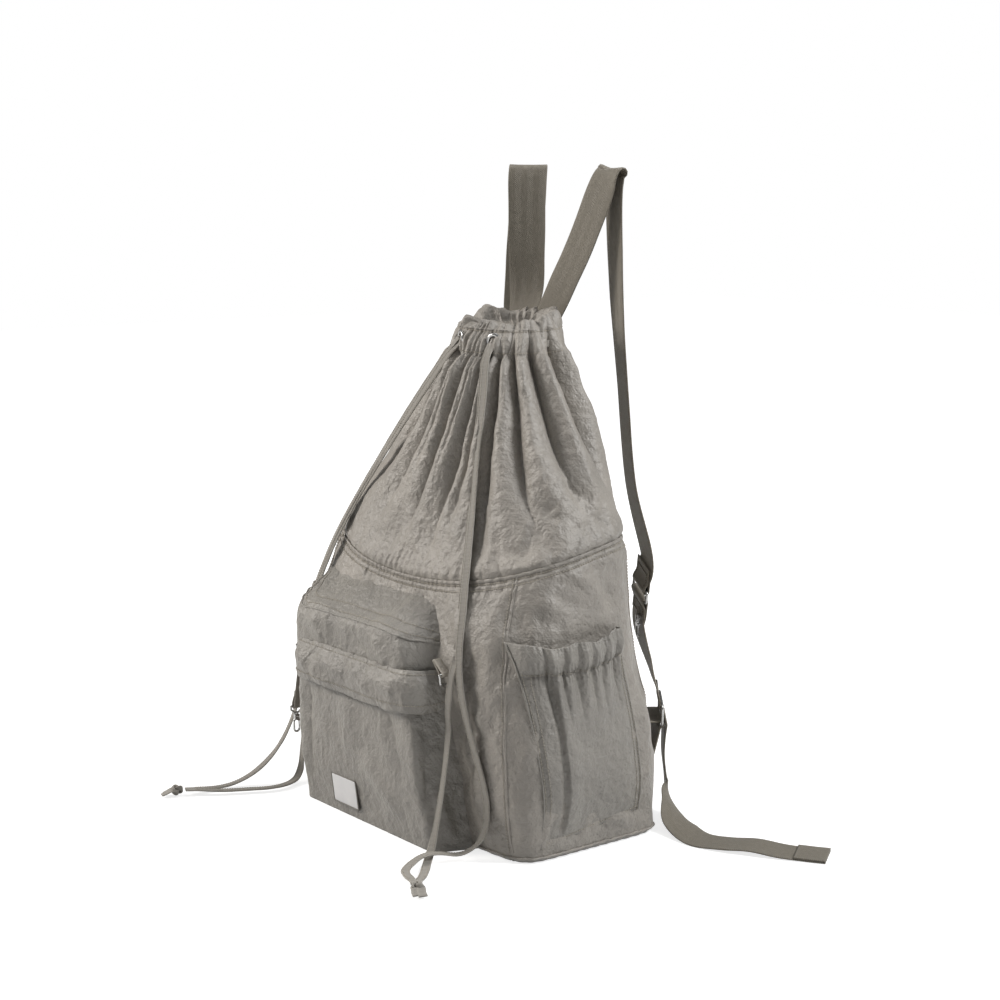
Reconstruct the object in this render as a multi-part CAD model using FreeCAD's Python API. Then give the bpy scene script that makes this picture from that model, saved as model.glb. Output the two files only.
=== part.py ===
import FreeCAD, Part
import math
import os
from FreeCAD import Vector

# A drawstring backpack that stands on its flat base. Millimetres, +Z up, origin on the floor under the
# middle of the base, the front pocket towards -Y, the wearer's back towards +Y.

# Cloth and clearances
CLOTH = 2.0  # bag walls, drawn as one thick ply of shell cloth and lining
POCKET_CLOTH = 1.8
SEAM_GAP = 0.3  # between sewn pieces that lie on each other
ABOVE_ALL = 1200.0  # reach of the cutting blocks, larger than the bag

# Bag body: the cross-section at each height
BASE_THICKNESS = 3.0
CHANNEL_BOTTOM = 462.0  # at the front of the mouth; the gathered upper body rises with it
MOUTH_FOOT_DROP = 22.0
MOUTH_TOP_RISE = 43.0
BODY_LEVELS = [  # height, half width, front Y, back Y, squareness of the corners
    (0.0, 190.0, -91.0, 91.0, 5.0),
    (20.0, 192.0, -94.0, 91.0, 5.0),
    (60.0, 203.0, -101.0, 89.0, 4.6),
    (120.0, 200.0, -106.0, 88.0, 4.2),
    (180.0, 189.0, -108.0, 85.0, 3.8),
    (240.0, 183.0, -88.0, 83.0, 3.4),
    (CHANNEL_BOTTOM - 162.0, 172.0, -62.0, 83.0, 3.0),
    (CHANNEL_BOTTOM - 112.0, 146.0, -40.0, 83.0, 2.6),
    (CHANNEL_BOTTOM - 62.0, 109.0, -23.0, 84.0, 2.4),
    (CHANNEL_BOTTOM - MOUTH_FOOT_DROP, 84.0, -9.0, 84.0, 2.2),
    (CHANNEL_BOTTOM + 10.0, 67.0, 4.0, 83.0, 2.1),
    (CHANNEL_BOTTOM + MOUTH_TOP_RISE, 60.0, 8.0, 85.0, 2.0),
]
SECTION_POINTS = 28

# Lower body seams, along vertical planes out of a line near each end of the bag
PANEL_APEX_X = 85.0
PANEL_SEAM_ANGLE = 45.0

# Yoke seam, where the gathered upper body is sewn to the lower body
YOKE_HEIGHT = 247.0  # at the middle of the front
YOKE_ARC_RADIUS = 700.0  # the seam rises towards both sides
YOKE_BACK_RISE = 0.2  # rise per millimetre from front to back

# Mouth: gathered drawcord channel with a ruffle above it
CHANNEL_HEIGHT = 24.0
MOUTH_TILT = 0.06  # the back of the mouth stands higher
CHANNEL_OUTWARD = 2.0  # gathered cloth swells outwards from the body
CHANNEL_DEPTH = 11.0  # through the gathers, outside to inside
TUNNEL_WALL = 3.0
TUNNEL_DEPTH = 5.0
TUNNEL_HEIGHT = 16.0
RUFFLE_FRONT = 5.0
RUFFLE_RISE = 0.11  # the ruffle stands taller at the back, per millimetre
RUFFLE_DEPTH = 5.0

# Drawcords: flat tape, two cords that each run once round the tunnel
TAPE_WIDTH = 6.4
TAPE_THICKNESS = 1.2
TAPE_STEPS = 20
CORD_DIAMETER = 4.4  # outside the bag each strand is drawn as a plain cord
CORD_SIDES = 5
EYELET_HOLE_RADIUS = 5.0
EYELET_BARREL = 0.9
EYELET_FLANGE_RADIUS = 8.6
EYELET_FLANGE = 1.1
EYELET_X = 26.0
EYELET_HEIGHT = CHANNEL_BOTTOM + CHANNEL_HEIGHT / 2
KNOT_RADIUS = 6.5
KNOT_LENGTH = 18.0

# Front bellows pocket: X of each corner at the floor and at the top seam
POCKET_LEFT_SEAM = (-118.0, -134.0)
POCKET_LEFT_FRONT = (-122.0, -127.0)
POCKET_RIGHT_FRONT = (106.0, 57.0)
POCKET_RIGHT_SEAM = (119.0, 86.5)
POCKET_FRONT_FOOT = -131.0
POCKET_FRONT = -139.0
POCKET_FOOT_HEIGHT = 60.0  # below this the front leans in
POCKET_SEAM_Y = -106.0
POCKET_BACK = -70.0  # inside the body wall, which trims it
POCKET_CORNER = 8.0
POCKET_TOP_BACK = 220.0
POCKET_TOP_FRONT = 200.0
POCKET_SLUMP = (62.0, 198.0)  # X and height where the soft top right corner starts to fall away
POCKET_SLUMP_SLOPE = (0.85, -0.46, 0.79)  # outward direction of the fallen corner

# Pocket zip under its cloth placket
ZIP_HEIGHT = 149.0
ZIP_LEFT = -100.0
ZIP_RIGHT = 48.0
ZIP_WINDOW = 12.0
ZIP_TAPE = 0.8
ZIP_SLIT = 1.4
ZIP_CHAIN_WIDTH = 2.2
ZIP_CHAIN = 2.0
SLIDER_LENGTH = 9.0
SLIDER_WIDTH = 7.5
SLIDER_PLATE = 0.9
SLIDER_POST = 0.8
PULL_LENGTH = 16.0
PULL_WIDTH = 5.0
PULL_THICKNESS = 1.0
PULL_EYE = 1.5
PULL_PIN = 0.55
PLACKET_TOP = ZIP_HEIGHT + 21.0
PLACKET_BOTTOM = ZIP_HEIGHT - 15.0
PLACKET_CAVITY = 6.6
PLACKET_CLOTH = 1.4
PLACKET_LEFT = -112.0
PLACKET_RIGHT = 64.0

# Label
LABEL_WIDTH = 45.0
LABEL_HEIGHT = 32.0
LABEL_THICKNESS = 1.6
LABEL_RIM = 1.6
LABEL_PLATE = 0.9
LABEL_X = -38.0
LABEL_Z = 26.0
LABEL_CORNER = 2.0

# Side pockets with an elastic hem
SIDE_TOP_GAP = 14.0  # cloth stands off the body by this at the mouth
SIDE_FRONT = (-86.0, 209.0, -69.0, 14.0)  # front edge: Y and height of its top, Y and height of its bottom
SIDE_BACK = (28.0, 215.0, 48.0, 32.0)
SIDE_TOP_DIP = 8.0
SIDE_STATIONS = 9
HEM_HEIGHT = 28.0
HEM_SWELL = 2.4
HEM_PLY = 1.2
ELASTIC_MARGIN = 3.5
ELASTIC_THICKNESS = 1.1

# Rings and tabs at the seams of the front pocket: X, Y and height of each tab's root
D_RING_HALF_WIDTH = 5.8
D_RING_DEPTH = 9.5
D_RING_WIRE = 1.1
TAB_WIDTH = 8.2
TAB_THICKNESS = 1.2
TAB_LENGTH = 16.0
TAB_DROOP = 41.0  # degrees below level
TAB_ROOTS = {"right": (90.4, -113.6, 182.0), "left": (-131.4, -118.0, 166.0)}

# Key strap on the left ring, with a swivelling snap clasp
KEY_STRAP_WIDTH = 8.6
KEY_STRAP_THICKNESS = 1.3
KEY_STRAP_LENGTH = 62.0  # between the bars of its two loops
KEY_STRAP_LEAN = 12.0  # degrees from hanging straight down
KEY_STRAP_TURN_BACK = 15.0

# Shoulder webbing
WEBBING_WIDTH = 38.0
WEBBING = 1.6
STRAP_TURN_BACK = 8.0
ANCHOR_X = 148.0  # of the anchor webbing where it is sewn to the back
ANCHOR_TOP = 106.0
ANCHOR_FOOT = 44.0
RUN_STEPS = 4  # straight facets in each bend of the webbing

# Ring between the two lengths of a shoulder strap, and the strap adjuster
RING_WIRE = 3.0
RING_INNER_WIDTH = 39.2
RING_BAR_SPACING = 11.5
RING_CENTRE = (118.0, 118.0, 226.0)
RING_TURN = -24.0  # degrees about +Z
RING_LEAN = 16.0  # the strap runs outwards and down
GLIDE_CENTRE = (156.0, 113.0, 112.0)
GLIDE_TURN = -38.0
GLIDE_LEAN = 8.0
GLIDE_BAR = 3.0
GLIDE_INNER_WIDTH = 39.2
GLIDE_SLOT = 7.0
GLIDE_SIDE = 2.6

# Snap clasps: a bent hook with a sprung gate
HOOK_WIRE = 1.1
HOOK_HALF_WIDTH = 3.1
HOOK_LENGTH = 15.0
HOOK_EYE_RADIUS = 3.4
KEY_EYE_HALF_WIDTH = 6.8
KEY_EYE_SHOULDER = 3.4
KEY_EYE_DEPTH = 7.2
GATE_THICKNESS = 1.6
GATE_PIN = 0.5
GATE_BORE_CLEARANCE = 0.07
GATE_GAP = 0.35
SWIVEL_PIN = 0.8
SWIVEL_CLEARANCE = 0.07
SWIVEL_BLOCK = 2.4
CLASP_LOOP_WIDTH = 2.2
CLASP_LOOP_THICKNESS = 0.9
CLASP_OFFSET = (10.0, -3.2)  # of a strap's clasp from its strap: across and towards the bag


# ---------------------------------------------------------------- curves and solids


def level_at(height):
    """Half width, front Y, back Y and squareness of the body at a height, between the listed levels."""
    below = BODY_LEVELS[0]
    for above in BODY_LEVELS[1:]:
        if height <= above[0]:
            share = (height - below[0]) / (above[0] - below[0])
            return [low + share * (high - low) for low, high in zip(below[1:], above[1:])]
        below = above
    return list(below[1:])


def section_point(height, angle, grow):
    """Point of the superelliptic cross-section, grown outwards by grow."""
    half_width, front, back, square = level_at(height)
    cos, sin = math.cos(angle), math.sin(angle)
    x = (half_width + grow) * math.copysign(abs(cos) ** (2 / square), cos)
    y = ((back - front) / 2 + grow) * math.copysign(abs(sin) ** (2 / square), sin)
    return Vector(x, (front + back) / 2 + y, height)


def side_x(y, height, grow):
    """X of the grown cross-section's right side at a depth Y."""
    half_width, front, back, square = level_at(height)
    off_middle = abs(y - (front + back) / 2) / ((back - front) / 2 + grow)
    return (half_width + grow) * max(0.0, 1 - off_middle**square) ** (1 / square)


def back_y(x, height, grow):
    """Y of the grown cross-section's back at an X."""
    half_width, front, back, square = level_at(height)
    off_middle = abs(x) / (half_width + grow)
    return (front + back) / 2 + ((back - front) / 2 + grow) * max(0.0, 1 - off_middle**square) ** (1 / square)


def polygon(points):
    return Part.Face(Part.makePolygon(list(points) + [points[0]]))


def flat_faces(corners):
    """One face on four corners in a plane, otherwise two triangles."""
    first, second, third, fourth = corners
    normal = (second - first).cross(third - first)
    if normal.Length > 1e-9 and abs((fourth - first).dot(normal)) / normal.Length < 1e-7:
        return [polygon(corners)]
    return [polygon([first, second, third]), polygon([first, third, fourth])]


def skin(rings, closed=False):
    """Solid skinned with flat faces between equal rings of points; closed joins the last ring to the first."""
    pairs = list(zip(rings, rings[1:]))
    faces = []
    if closed:
        pairs.append((rings[-1], rings[0]))
    else:
        faces += [polygon(rings[0]), polygon(rings[-1])]
    for low, high in pairs:
        for k in range(len(low)):
            faces += flat_faces([low[k], low[k - 1], high[k - 1], high[k]])
    solid = Part.makeSolid(Part.makeShell(faces))
    if solid.Volume < 0:
        solid.reverse()
    return solid


def form(grow, low=0.0, high=BODY_LEVELS[-1][0]):
    """Solid of the body between two of the listed heights, grown outwards by grow."""
    heights = [level[0] for level in BODY_LEVELS if low <= level[0] <= high]
    angles = [2 * math.pi * (k + 0.5) / SECTION_POINTS for k in range(SECTION_POINTS)]
    return skin([[section_point(height, angle, grow) for angle in angles] for height in heights])


def block(x0, x1, y0, y1, z0, z1):
    return Part.makeBox(x1 - x0, y1 - y0, z1 - z0, Vector(x0, y0, z0))


def prism(points, push):
    """Solid between a flat outline and the same outline pushed along a vector."""
    return polygon([Vector(*point) for point in points]).extrude(Vector(*push))


def beyond(point, outward):
    """Everything on the outward side of a plane."""
    half = ABOVE_ALL / 2
    body = block(-half, half, -half, half, 0, half)
    body.Placement = FreeCAD.Placement(Vector(*point), FreeCAD.Rotation(Vector(0, 0, 1), Vector(*outward)))
    return body


def rod(start, end, radius, sides):
    """Straight rod with a regular polygon for its section; radius reaches the corners."""
    start, end = Vector(*start), Vector(*end)
    turn = FreeCAD.Rotation(Vector(0, 0, 1), end - start)
    angles = [2 * math.pi * (k + 0.5) / sides for k in range(sides)]
    ring = [turn.multVec(Vector(radius * math.cos(a), radius * math.sin(a), 0)) for a in angles]
    return skin([[start + point for point in ring], [end + point for point in ring]])


def bent_wire(corners, normal, radius, closed):
    """Wire with an eight-sided section, mitred at the corners of a path in the plane square to normal."""
    corners, normal = [Vector(*corner) for corner in corners], Vector(*normal)
    rings = []
    for k, here in enumerate(corners):
        ways = []
        if closed or k > 0:
            ways.append((here - corners[k - 1]).normalize())
        if closed or k < len(corners) - 1:
            ways.append((corners[(k + 1) % len(corners)] - here).normalize())
        along = (ways[0] + ways[-1]).normalize()
        side = normal.cross(along)
        stretch = 1 / max(along.dot(ways[0]), 0.3)
        angles = [2 * math.pi * (j + 0.5) / 8 for j in range(8)]
        rings.append(
            [here + side * (radius * stretch * math.cos(a)) + normal * (radius * math.sin(a)) for a in angles]
        )
    return skin(rings, closed)


def mirrored(shape):
    return shape.mirror(Vector(0, 0, 0), Vector(1, 0, 0))


def moved(shape, place):
    copy = shape.copy()
    copy.translate(Vector(*place))
    return copy


def turned(shape, axis, degrees):
    copy = shape.copy()
    copy.rotate(Vector(0, 0, 0), Vector(*axis), degrees)
    return copy


def band_ring(centre, ahead, across, width, thickness):
    """Corners of a strip's cross-section."""
    ahead = Vector(*ahead).normalize()
    side = Vector(*across)
    side = (side - ahead * side.dot(ahead)).normalize()
    half_side, half_normal = side * (width / 2), ahead.cross(side) * (thickness / 2)
    return [centre + half_side * s + half_normal * n for s, n in ((-1, -1), (1, -1), (1, 1), (-1, 1))]


def band(stations, width, thickness):
    """Flat strip: each station is a centre point and a direction across the strip."""
    centres = [Vector(*centre) for centre, across in stations]
    rings = []
    for k, (centre, across) in enumerate(stations):
        ahead = centres[min(k + 1, len(centres) - 1)] - centres[max(k - 1, 0)]
        rings.append(band_ring(centres[k], ahead, across, width, thickness))
    return skin(rings)


def smooth(stations, steps):
    """More stations along a smooth curve through the given ones."""
    curve = Part.BSplineCurve()
    curve.interpolate([Vector(*centre) for centre, across in stations])
    knots = [curve.parameter(Vector(*centre)) for centre, across in stations]
    result = []
    for k in range(len(stations) - 1):
        first, second = Vector(*stations[k][1]), Vector(*stations[k + 1][1])
        for j in range(steps):
            share = j / steps
            point = curve.value(knots[k] + share * (knots[k + 1] - knots[k]))
            result.append((tuple(point), tuple(first + (second - first) * share)))
    return result + [stations[-1]]


def arc_points(centre, radius, start, end, steps):
    """Points on an arc in (depth, height); angles in degrees from +depth towards +height."""
    angles = [math.radians(start + (end - start) * k / steps) for k in range(steps + 1)]
    return [(centre[0] + radius * math.cos(a), centre[1] + radius * math.sin(a)) for a in angles]


def cord_tube(name, points):
    """Cord with a six-sided section along straight runs joined by tangent arcs; prints length, radii and fill."""
    corners = [Vector(*point) for point in points]
    start = corners[0]
    turn = FreeCAD.Rotation(Vector(0, 0, 1), corners[1] - start)
    angles = [2 * math.pi * k / CORD_SIDES for k in range(CORD_SIDES)]
    ring = Part.makePolygon(
        [
            start + turn.multVec(
                Vector(math.cos(a), math.sin(a), 0) * (CORD_DIAMETER / 2)
            ) for a in angles + angles[:1]
        ]
    )
    faces = [Part.Face(ring)]
    length, radii = 0.0, []
    for before, here, after in zip(corners, corners[1:], corners[2:]):
        back, ahead = before - here, after - here
        reach = 0.45 * min(back.Length, ahead.Length)
        back.normalize()
        ahead.normalize()
        half_turn = (math.pi - back.getAngle(ahead)) / 2
        radius = reach / math.tan(half_turn)
        enter = here + back * reach
        faces += ring.extrude(enter - start).Faces
        ring.translate(enter - start)
        centre = here + (back + ahead).normalize() * (radius / math.cos(half_turn))
        axis = (back * -1).cross(ahead)
        faces += ring.revolve(centre, axis, math.degrees(2 * half_turn)).Faces
        ring.rotate(centre, axis, math.degrees(2 * half_turn))
        length += (enter - start).Length + 2 * half_turn * radius
        radii.append(round(radius))
        start = here + ahead * reach
    faces += ring.extrude(corners[-1] - start).Faces
    length += (corners[-1] - start).Length
    ring.translate(corners[-1] - start)
    shell = Part.makeShell(faces + [Part.Face(ring)])
    shell.sewShape()
    tube = Part.makeSolid(shell)
    if tube.Volume < 0:
        tube.reverse()
    area = CORD_SIDES / 2 * (CORD_DIAMETER / 2) ** 2 * math.sin(2 * math.pi / CORD_SIDES)
    print(name, "length", round(length), "radii", radii, "fill", round(tube.Volume / (area * length), 3))
    return tube


# ---------------------------------------------------------------- bag body


def yoke_cutter():
    """Everything above the yoke seam, whose edge is an arc that rises to both sides and to the back."""
    half = ABOVE_ALL / 4
    drop = YOKE_ARC_RADIUS - math.sqrt(YOKE_ARC_RADIUS**2 - half**2)
    start = YOKE_HEIGHT - YOKE_BACK_RISE * half
    left, middle, right = Vector(-half, 0, start + drop), Vector(0, 0, start), Vector(half, 0, start + drop)
    top_right, top_left = Vector(half, 0, ABOVE_ALL), Vector(-half, 0, ABOVE_ALL)
    edges = [Part.Arc(left, middle, right).toShape()]
    for first, second in ((right, top_right), (top_right, top_left), (top_left, left)):
        edges.append(Part.LineSegment(first, second).toShape())
    body = Part.Face(Part.Wire(edges)).extrude(Vector(0, 2 * half, YOKE_BACK_RISE * 2 * half))
    return moved(body, (0, level_at(YOKE_HEIGHT)[1] - half, 0))


def mouth_plane(height):
    """Everything above the tilted plane that passes the middle of the mouth's front at a height."""
    return beyond((0, level_at(height)[1], height), (0, -MOUTH_TILT, 1))


def make_body():
    wall = form(0).cut(form(-CLOTH)).cut(
        block(-ABOVE_ALL, ABOVE_ALL, -ABOVE_ALL, ABOVE_ALL, -1, BASE_THICKNESS)
    )
    base = form(0).common(block(-ABOVE_ALL, ABOVE_ALL, -ABOVE_ALL, ABOVE_ALL, 0, BASE_THICKNESS))
    above_yoke = yoke_cutter()
    lower = wall.cut(above_yoke)
    reach = ABOVE_ALL / 2
    rise = reach * math.tan(math.radians(PANEL_SEAM_ANGLE))
    wedge = prism(
        [(PANEL_APEX_X, 0, -1), (PANEL_APEX_X + reach, -rise, -1), (PANEL_APEX_X + reach, rise, -1)],
        (0, 0, reach)
    )
    other_wedge = mirrored(wedge)
    middle = lower.cut(wedge).cut(other_wedge)
    front_half = block(-ABOVE_ALL, ABOVE_ALL, -ABOVE_ALL, 0, -1, reach)
    return {
        "base_panel": base,
        "side_panel_right": lower.common(wedge),
        "side_panel_left": lower.common(other_wedge),
        "front_panel": middle.common(front_half),
        "back_panel": middle.cut(front_half),
        "upper_body": wall.common(above_yoke).cut(mouth_plane(CHANNEL_BOTTOM)),
    }


def mouth_form(grow):
    return form(grow, CHANNEL_BOTTOM - MOUTH_FOOT_DROP, CHANNEL_BOTTOM + MOUTH_TOP_RISE)


def eyelet_place(side):
    """Centre on the outside of the channel, and outward direction, of the eyelet on one side."""
    half_width, front, back, square = level_at(EYELET_HEIGHT)
    half_width, half_depth = half_width + CHANNEL_OUTWARD, (back - front) / 2 + CHANNEL_OUTWARD
    drop = half_depth * (1 - (EYELET_X / half_width) ** square) ** (1 / square)
    lean_x = side * EYELET_X ** (square - 1) / half_width**square
    outward = Vector(lean_x, -(drop ** (square - 1)) / half_depth**square, 0)
    return Vector(side * EYELET_X, (front + back) / 2 - drop, EYELET_HEIGHT), outward.normalize()


def make_eyelet(side):
    """Flanged barrel through the outer wall of the channel."""
    centre, outward = eyelet_place(side)
    barrel = EYELET_HOLE_RADIUS + EYELET_BARREL
    inner, flange, foot = EYELET_HOLE_RADIUS, EYELET_FLANGE_RADIUS, 0.6
    crown = foot + EYELET_FLANGE
    profile = [
        (inner, -TUNNEL_WALL), (barrel, -TUNNEL_WALL), (barrel, foot), (flange, foot),
        (barrel + 1.2, crown), (inner, crown - 0.3)
    ]
    turn = FreeCAD.Rotation(Vector(0, 0, 1), outward)
    rings = []
    for k in range(16):
        angle = 2 * math.pi * k / 16
        ring = [
            Vector(radius * math.cos(angle), radius * math.sin(angle), along) for radius, along in profile
        ]
        rings.append([centre + turn.multVec(point) for point in ring])
    return skin(rings, closed=True)


def hidden_tape(height, side):
    """Flat tape standing in the tunnel, once round the mouth and open beside its eyelet."""
    grow = CHANNEL_OUTWARD - TUNNEL_WALL - TUNNEL_DEPTH / 2
    eyelet_angle = -math.pi / 2 + side * math.asin(EYELET_X / level_at(EYELET_HEIGHT)[0])
    angles = [
        eyelet_angle + side * (0.08 + (2 * math.pi - 0.16) * k / TAPE_STEPS) for k in range(TAPE_STEPS + 1)
    ]
    tilt = MOUTH_TILT
    stations = []
    for angle in angles:
        point = section_point(height, angle, grow)
        point.z += tilt * (point.y - level_at(height)[1])
        stations.append((tuple(point), (0, 0, 1)))
    return band(stations, TAPE_WIDTH, TAPE_THICKNESS)


def make_mouth():
    top = CHANNEL_BOTTOM + CHANNEL_HEIGHT
    ring = mouth_form(CHANNEL_OUTWARD).cut(mouth_form(CHANNEL_OUTWARD - CHANNEL_DEPTH))
    channel = ring.common(mouth_plane(CHANNEL_BOTTOM)).cut(mouth_plane(top))
    margin = (CHANNEL_HEIGHT - TUNNEL_HEIGHT) / 2
    outside = CHANNEL_OUTWARD - TUNNEL_WALL
    tunnel = mouth_form(outside).cut(mouth_form(outside - TUNNEL_DEPTH))
    tunnel = tunnel.common(mouth_plane(CHANNEL_BOTTOM + margin)).cut(mouth_plane(top - margin))
    channel = channel.cut(tunnel)
    parts = {}
    for side, name in ((1, "right"), (-1, "left")):
        centre, outward = eyelet_place(side)
        bore = EYELET_HOLE_RADIUS + EYELET_BARREL + 0.25
        channel = channel.cut(rod(centre + outward * 3, centre - outward * (TUNNEL_WALL + 1), bore, 16))
        parts["eyelet_" + name] = make_eyelet(side)
    outside = CHANNEL_OUTWARD - 1
    ruffle = mouth_form(outside).cut(mouth_form(outside - RUFFLE_DEPTH)).common(mouth_plane(top))
    lid = beyond((0, level_at(top)[1], top + RUFFLE_FRONT), (0, -MOUTH_TILT - RUFFLE_RISE, 1))
    offset = TAPE_WIDTH / 2 + 0.3
    parts["drawcord_channel"] = channel
    parts["mouth_ruffle"] = ruffle.cut(lid)
    parts["drawcord_run_right"] = hidden_tape(EYELET_HEIGHT + offset, 1)
    parts["drawcord_run_left"] = hidden_tape(EYELET_HEIGHT - offset, -1)
    return parts


# ---------------------------------------------------------------- front pocket


def pocket_ring(height, front, inset):
    """Plan outline of the pocket at a height, with its two front corners rounded."""
    share = height / POCKET_TOP_BACK
    edges = (POCKET_LEFT_SEAM, POCKET_LEFT_FRONT, POCKET_RIGHT_FRONT, POCKET_RIGHT_SEAM)
    left_seam, left_front, right_front, right_seam = (low + share * (high - low) for low, high in edges)
    left_seam, left_front = left_seam + inset, left_front + inset
    right_front, right_seam = right_front - inset, right_seam - inset
    y, radius = front + inset, POCKET_CORNER - inset
    points = [(left_seam, POCKET_BACK), (left_seam, POCKET_SEAM_Y)]
    for x, start, side in ((left_front, 180, 1), (right_front, 270, -1)):
        for k in range(4):
            angle = math.radians(start + 30 * k)
            points.append(
                (x + side * radius + radius * math.cos(angle), y + radius + radius * math.sin(angle))
            )
    points += [(right_seam, POCKET_SEAM_Y), (right_seam, POCKET_BACK)]
    return [Vector(px, py, height) for px, py in points]


def pocket_form(inset):
    """The pocket's outer form pulled in by inset on every side but the back."""
    levels = [
        (0.0, POCKET_FRONT_FOOT), (POCKET_FOOT_HEIGHT, POCKET_FRONT), (POCKET_TOP_BACK + 20, POCKET_FRONT)
    ]
    solid = skin([pocket_ring(height, front, inset) for height, front in levels])
    slope = (POCKET_TOP_BACK - POCKET_TOP_FRONT) / (POCKET_SEAM_Y - POCKET_FRONT)
    solid = solid.cut(beyond((0, POCKET_FRONT, POCKET_TOP_FRONT - inset), (0, -slope, 1)))
    slump_x, slump_z = POCKET_SLUMP
    solid = solid.cut(beyond((slump_x - inset, POCKET_FRONT, slump_z - inset), POCKET_SLUMP_SLOPE))
    if inset:
        solid = solid.cut(block(-ABOVE_ALL, ABOVE_ALL, -ABOVE_ALL, ABOVE_ALL, -1, inset))
    return solid


def make_front_pocket(body_clear):
    shell = pocket_form(0).cut(pocket_form(POCKET_CLOTH)).cut(body_clear)
    half = ZIP_WINDOW / 2
    window = block(
        ZIP_LEFT, ZIP_RIGHT, POCKET_FRONT - 5, POCKET_FRONT + 5, ZIP_HEIGHT - half, ZIP_HEIGHT + half
    )
    parts = {"front_pocket": shell.cut(window)}
    # two tapes in the window, each with half of the chain along the parting line
    middle_y = POCKET_FRONT + POCKET_CLOTH / 2
    for name, way in (("zip_tape_upper", 1), ("zip_tape_lower", -1)):
        inner = ZIP_HEIGHT + way * ZIP_SLIT / 2
        pieces = []
        for reach, thick in ((half - ZIP_SLIT / 2, ZIP_TAPE), (ZIP_CHAIN_WIDTH, ZIP_CHAIN)):
            low, high = sorted((inner, inner + way * reach))
            pieces.append(block(ZIP_LEFT, ZIP_RIGHT, middle_y - thick / 2, middle_y + thick / 2, low, high))
        parts[name] = pieces[0].fuse(pieces[1]).removeSplitter()
    parts.update(make_slider(middle_y))
    parts["pocket_placket"] = make_placket()
    parts.update(make_label())
    return parts


def make_slider(middle_y):
    """Two plates joined by a blade in the parting line, with two ears and the pull's pin."""
    x0, x1 = ZIP_RIGHT - 1 - SLIDER_LENGTH, ZIP_RIGHT - 1
    half, clear = SLIDER_WIDTH / 2, ZIP_CHAIN / 2 + 0.3
    front_y = middle_y - clear - SLIDER_PLATE
    pieces = []
    for y in (front_y, middle_y + clear):
        nose = [(x0, y, ZIP_HEIGHT - half), (x1 - 2, y, ZIP_HEIGHT - half), (x1, y, ZIP_HEIGHT - half + 2)]
        nose += [(x1, y, ZIP_HEIGHT + half - 2), (x1 - 2, y, ZIP_HEIGHT + half), (x0, y, ZIP_HEIGHT + half)]
        pieces.append(prism(nose, (0, SLIDER_PLATE, 0)))
    pin_x, pin_y = (x0 + x1) / 2, front_y - PULL_THICKNESS / 2 - 0.9
    reach = PULL_WIDTH / 2 + 0.35
    for way in (1, -1):
        low, high = sorted((ZIP_HEIGHT + way * reach, ZIP_HEIGHT + way * (reach + 0.9)))
        pieces.append(block(pin_x - 1.2, pin_x + 1.2, pin_y - 0.9, front_y + 0.1, low, high))
    pieces.append(
        rod((pin_x, pin_y, ZIP_HEIGHT - reach - 0.1), (pin_x, pin_y, ZIP_HEIGHT + reach + 0.1), PULL_PIN, 16)
    )
    blade = block(
        x0 + 2, x1 - 3, front_y, middle_y + clear, ZIP_HEIGHT - SLIDER_POST / 2,
        ZIP_HEIGHT + SLIDER_POST / 2
    )
    low, high = ZIP_HEIGHT - PULL_WIDTH / 2, ZIP_HEIGHT + PULL_WIDTH / 2
    thick = PULL_THICKNESS / 2
    arm = block(pin_x - PULL_LENGTH, pin_x, pin_y - thick, pin_y + thick, low, high)
    knuckle = rod((pin_x, pin_y, low), (pin_x, pin_y, high), PULL_PIN + 0.5, 12)
    bore = rod(
        (pin_x, pin_y, low - 1), (pin_x, pin_y, high + 1), (PULL_PIN + 0.06) / math.cos(math.pi / 16), 16
    )
    eye_x = pin_x - PULL_LENGTH + 3.2
    eye = rod((eye_x, pin_y - 2, ZIP_HEIGHT), (eye_x, pin_y + 2, ZIP_HEIGHT), PULL_EYE, 12)
    pull = arm.fuse(knuckle).cut(bore).cut(eye)
    return {"zip_slider": blade.fuse(pieces).removeSplitter(), "zip_pull": pull.removeSplitter()}


def make_placket():
    """Cloth hood over the zip, sewn down along its top and at both ends, open below."""
    near, far = POCKET_FRONT - SEAM_GAP, POCKET_FRONT - SEAM_GAP - PLACKET_CAVITY
    slant = PLACKET_CAVITY * 1.6

    def hood(inset, back, foot):
        left, lip = PLACKET_LEFT + inset, far + inset
        profile = [
            (left, back, PLACKET_TOP - inset), (left, lip, PLACKET_TOP - slant - inset * 0.6),
            (left, lip, foot), (left, back, foot)
        ]
        return prism(profile, (PLACKET_RIGHT - PLACKET_LEFT - 2 * inset, 0, 0))

    return hood(0, near, PLACKET_BOTTOM).cut(hood(PLACKET_CLOTH, near + 1, PLACKET_BOTTOM - 5))


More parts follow.
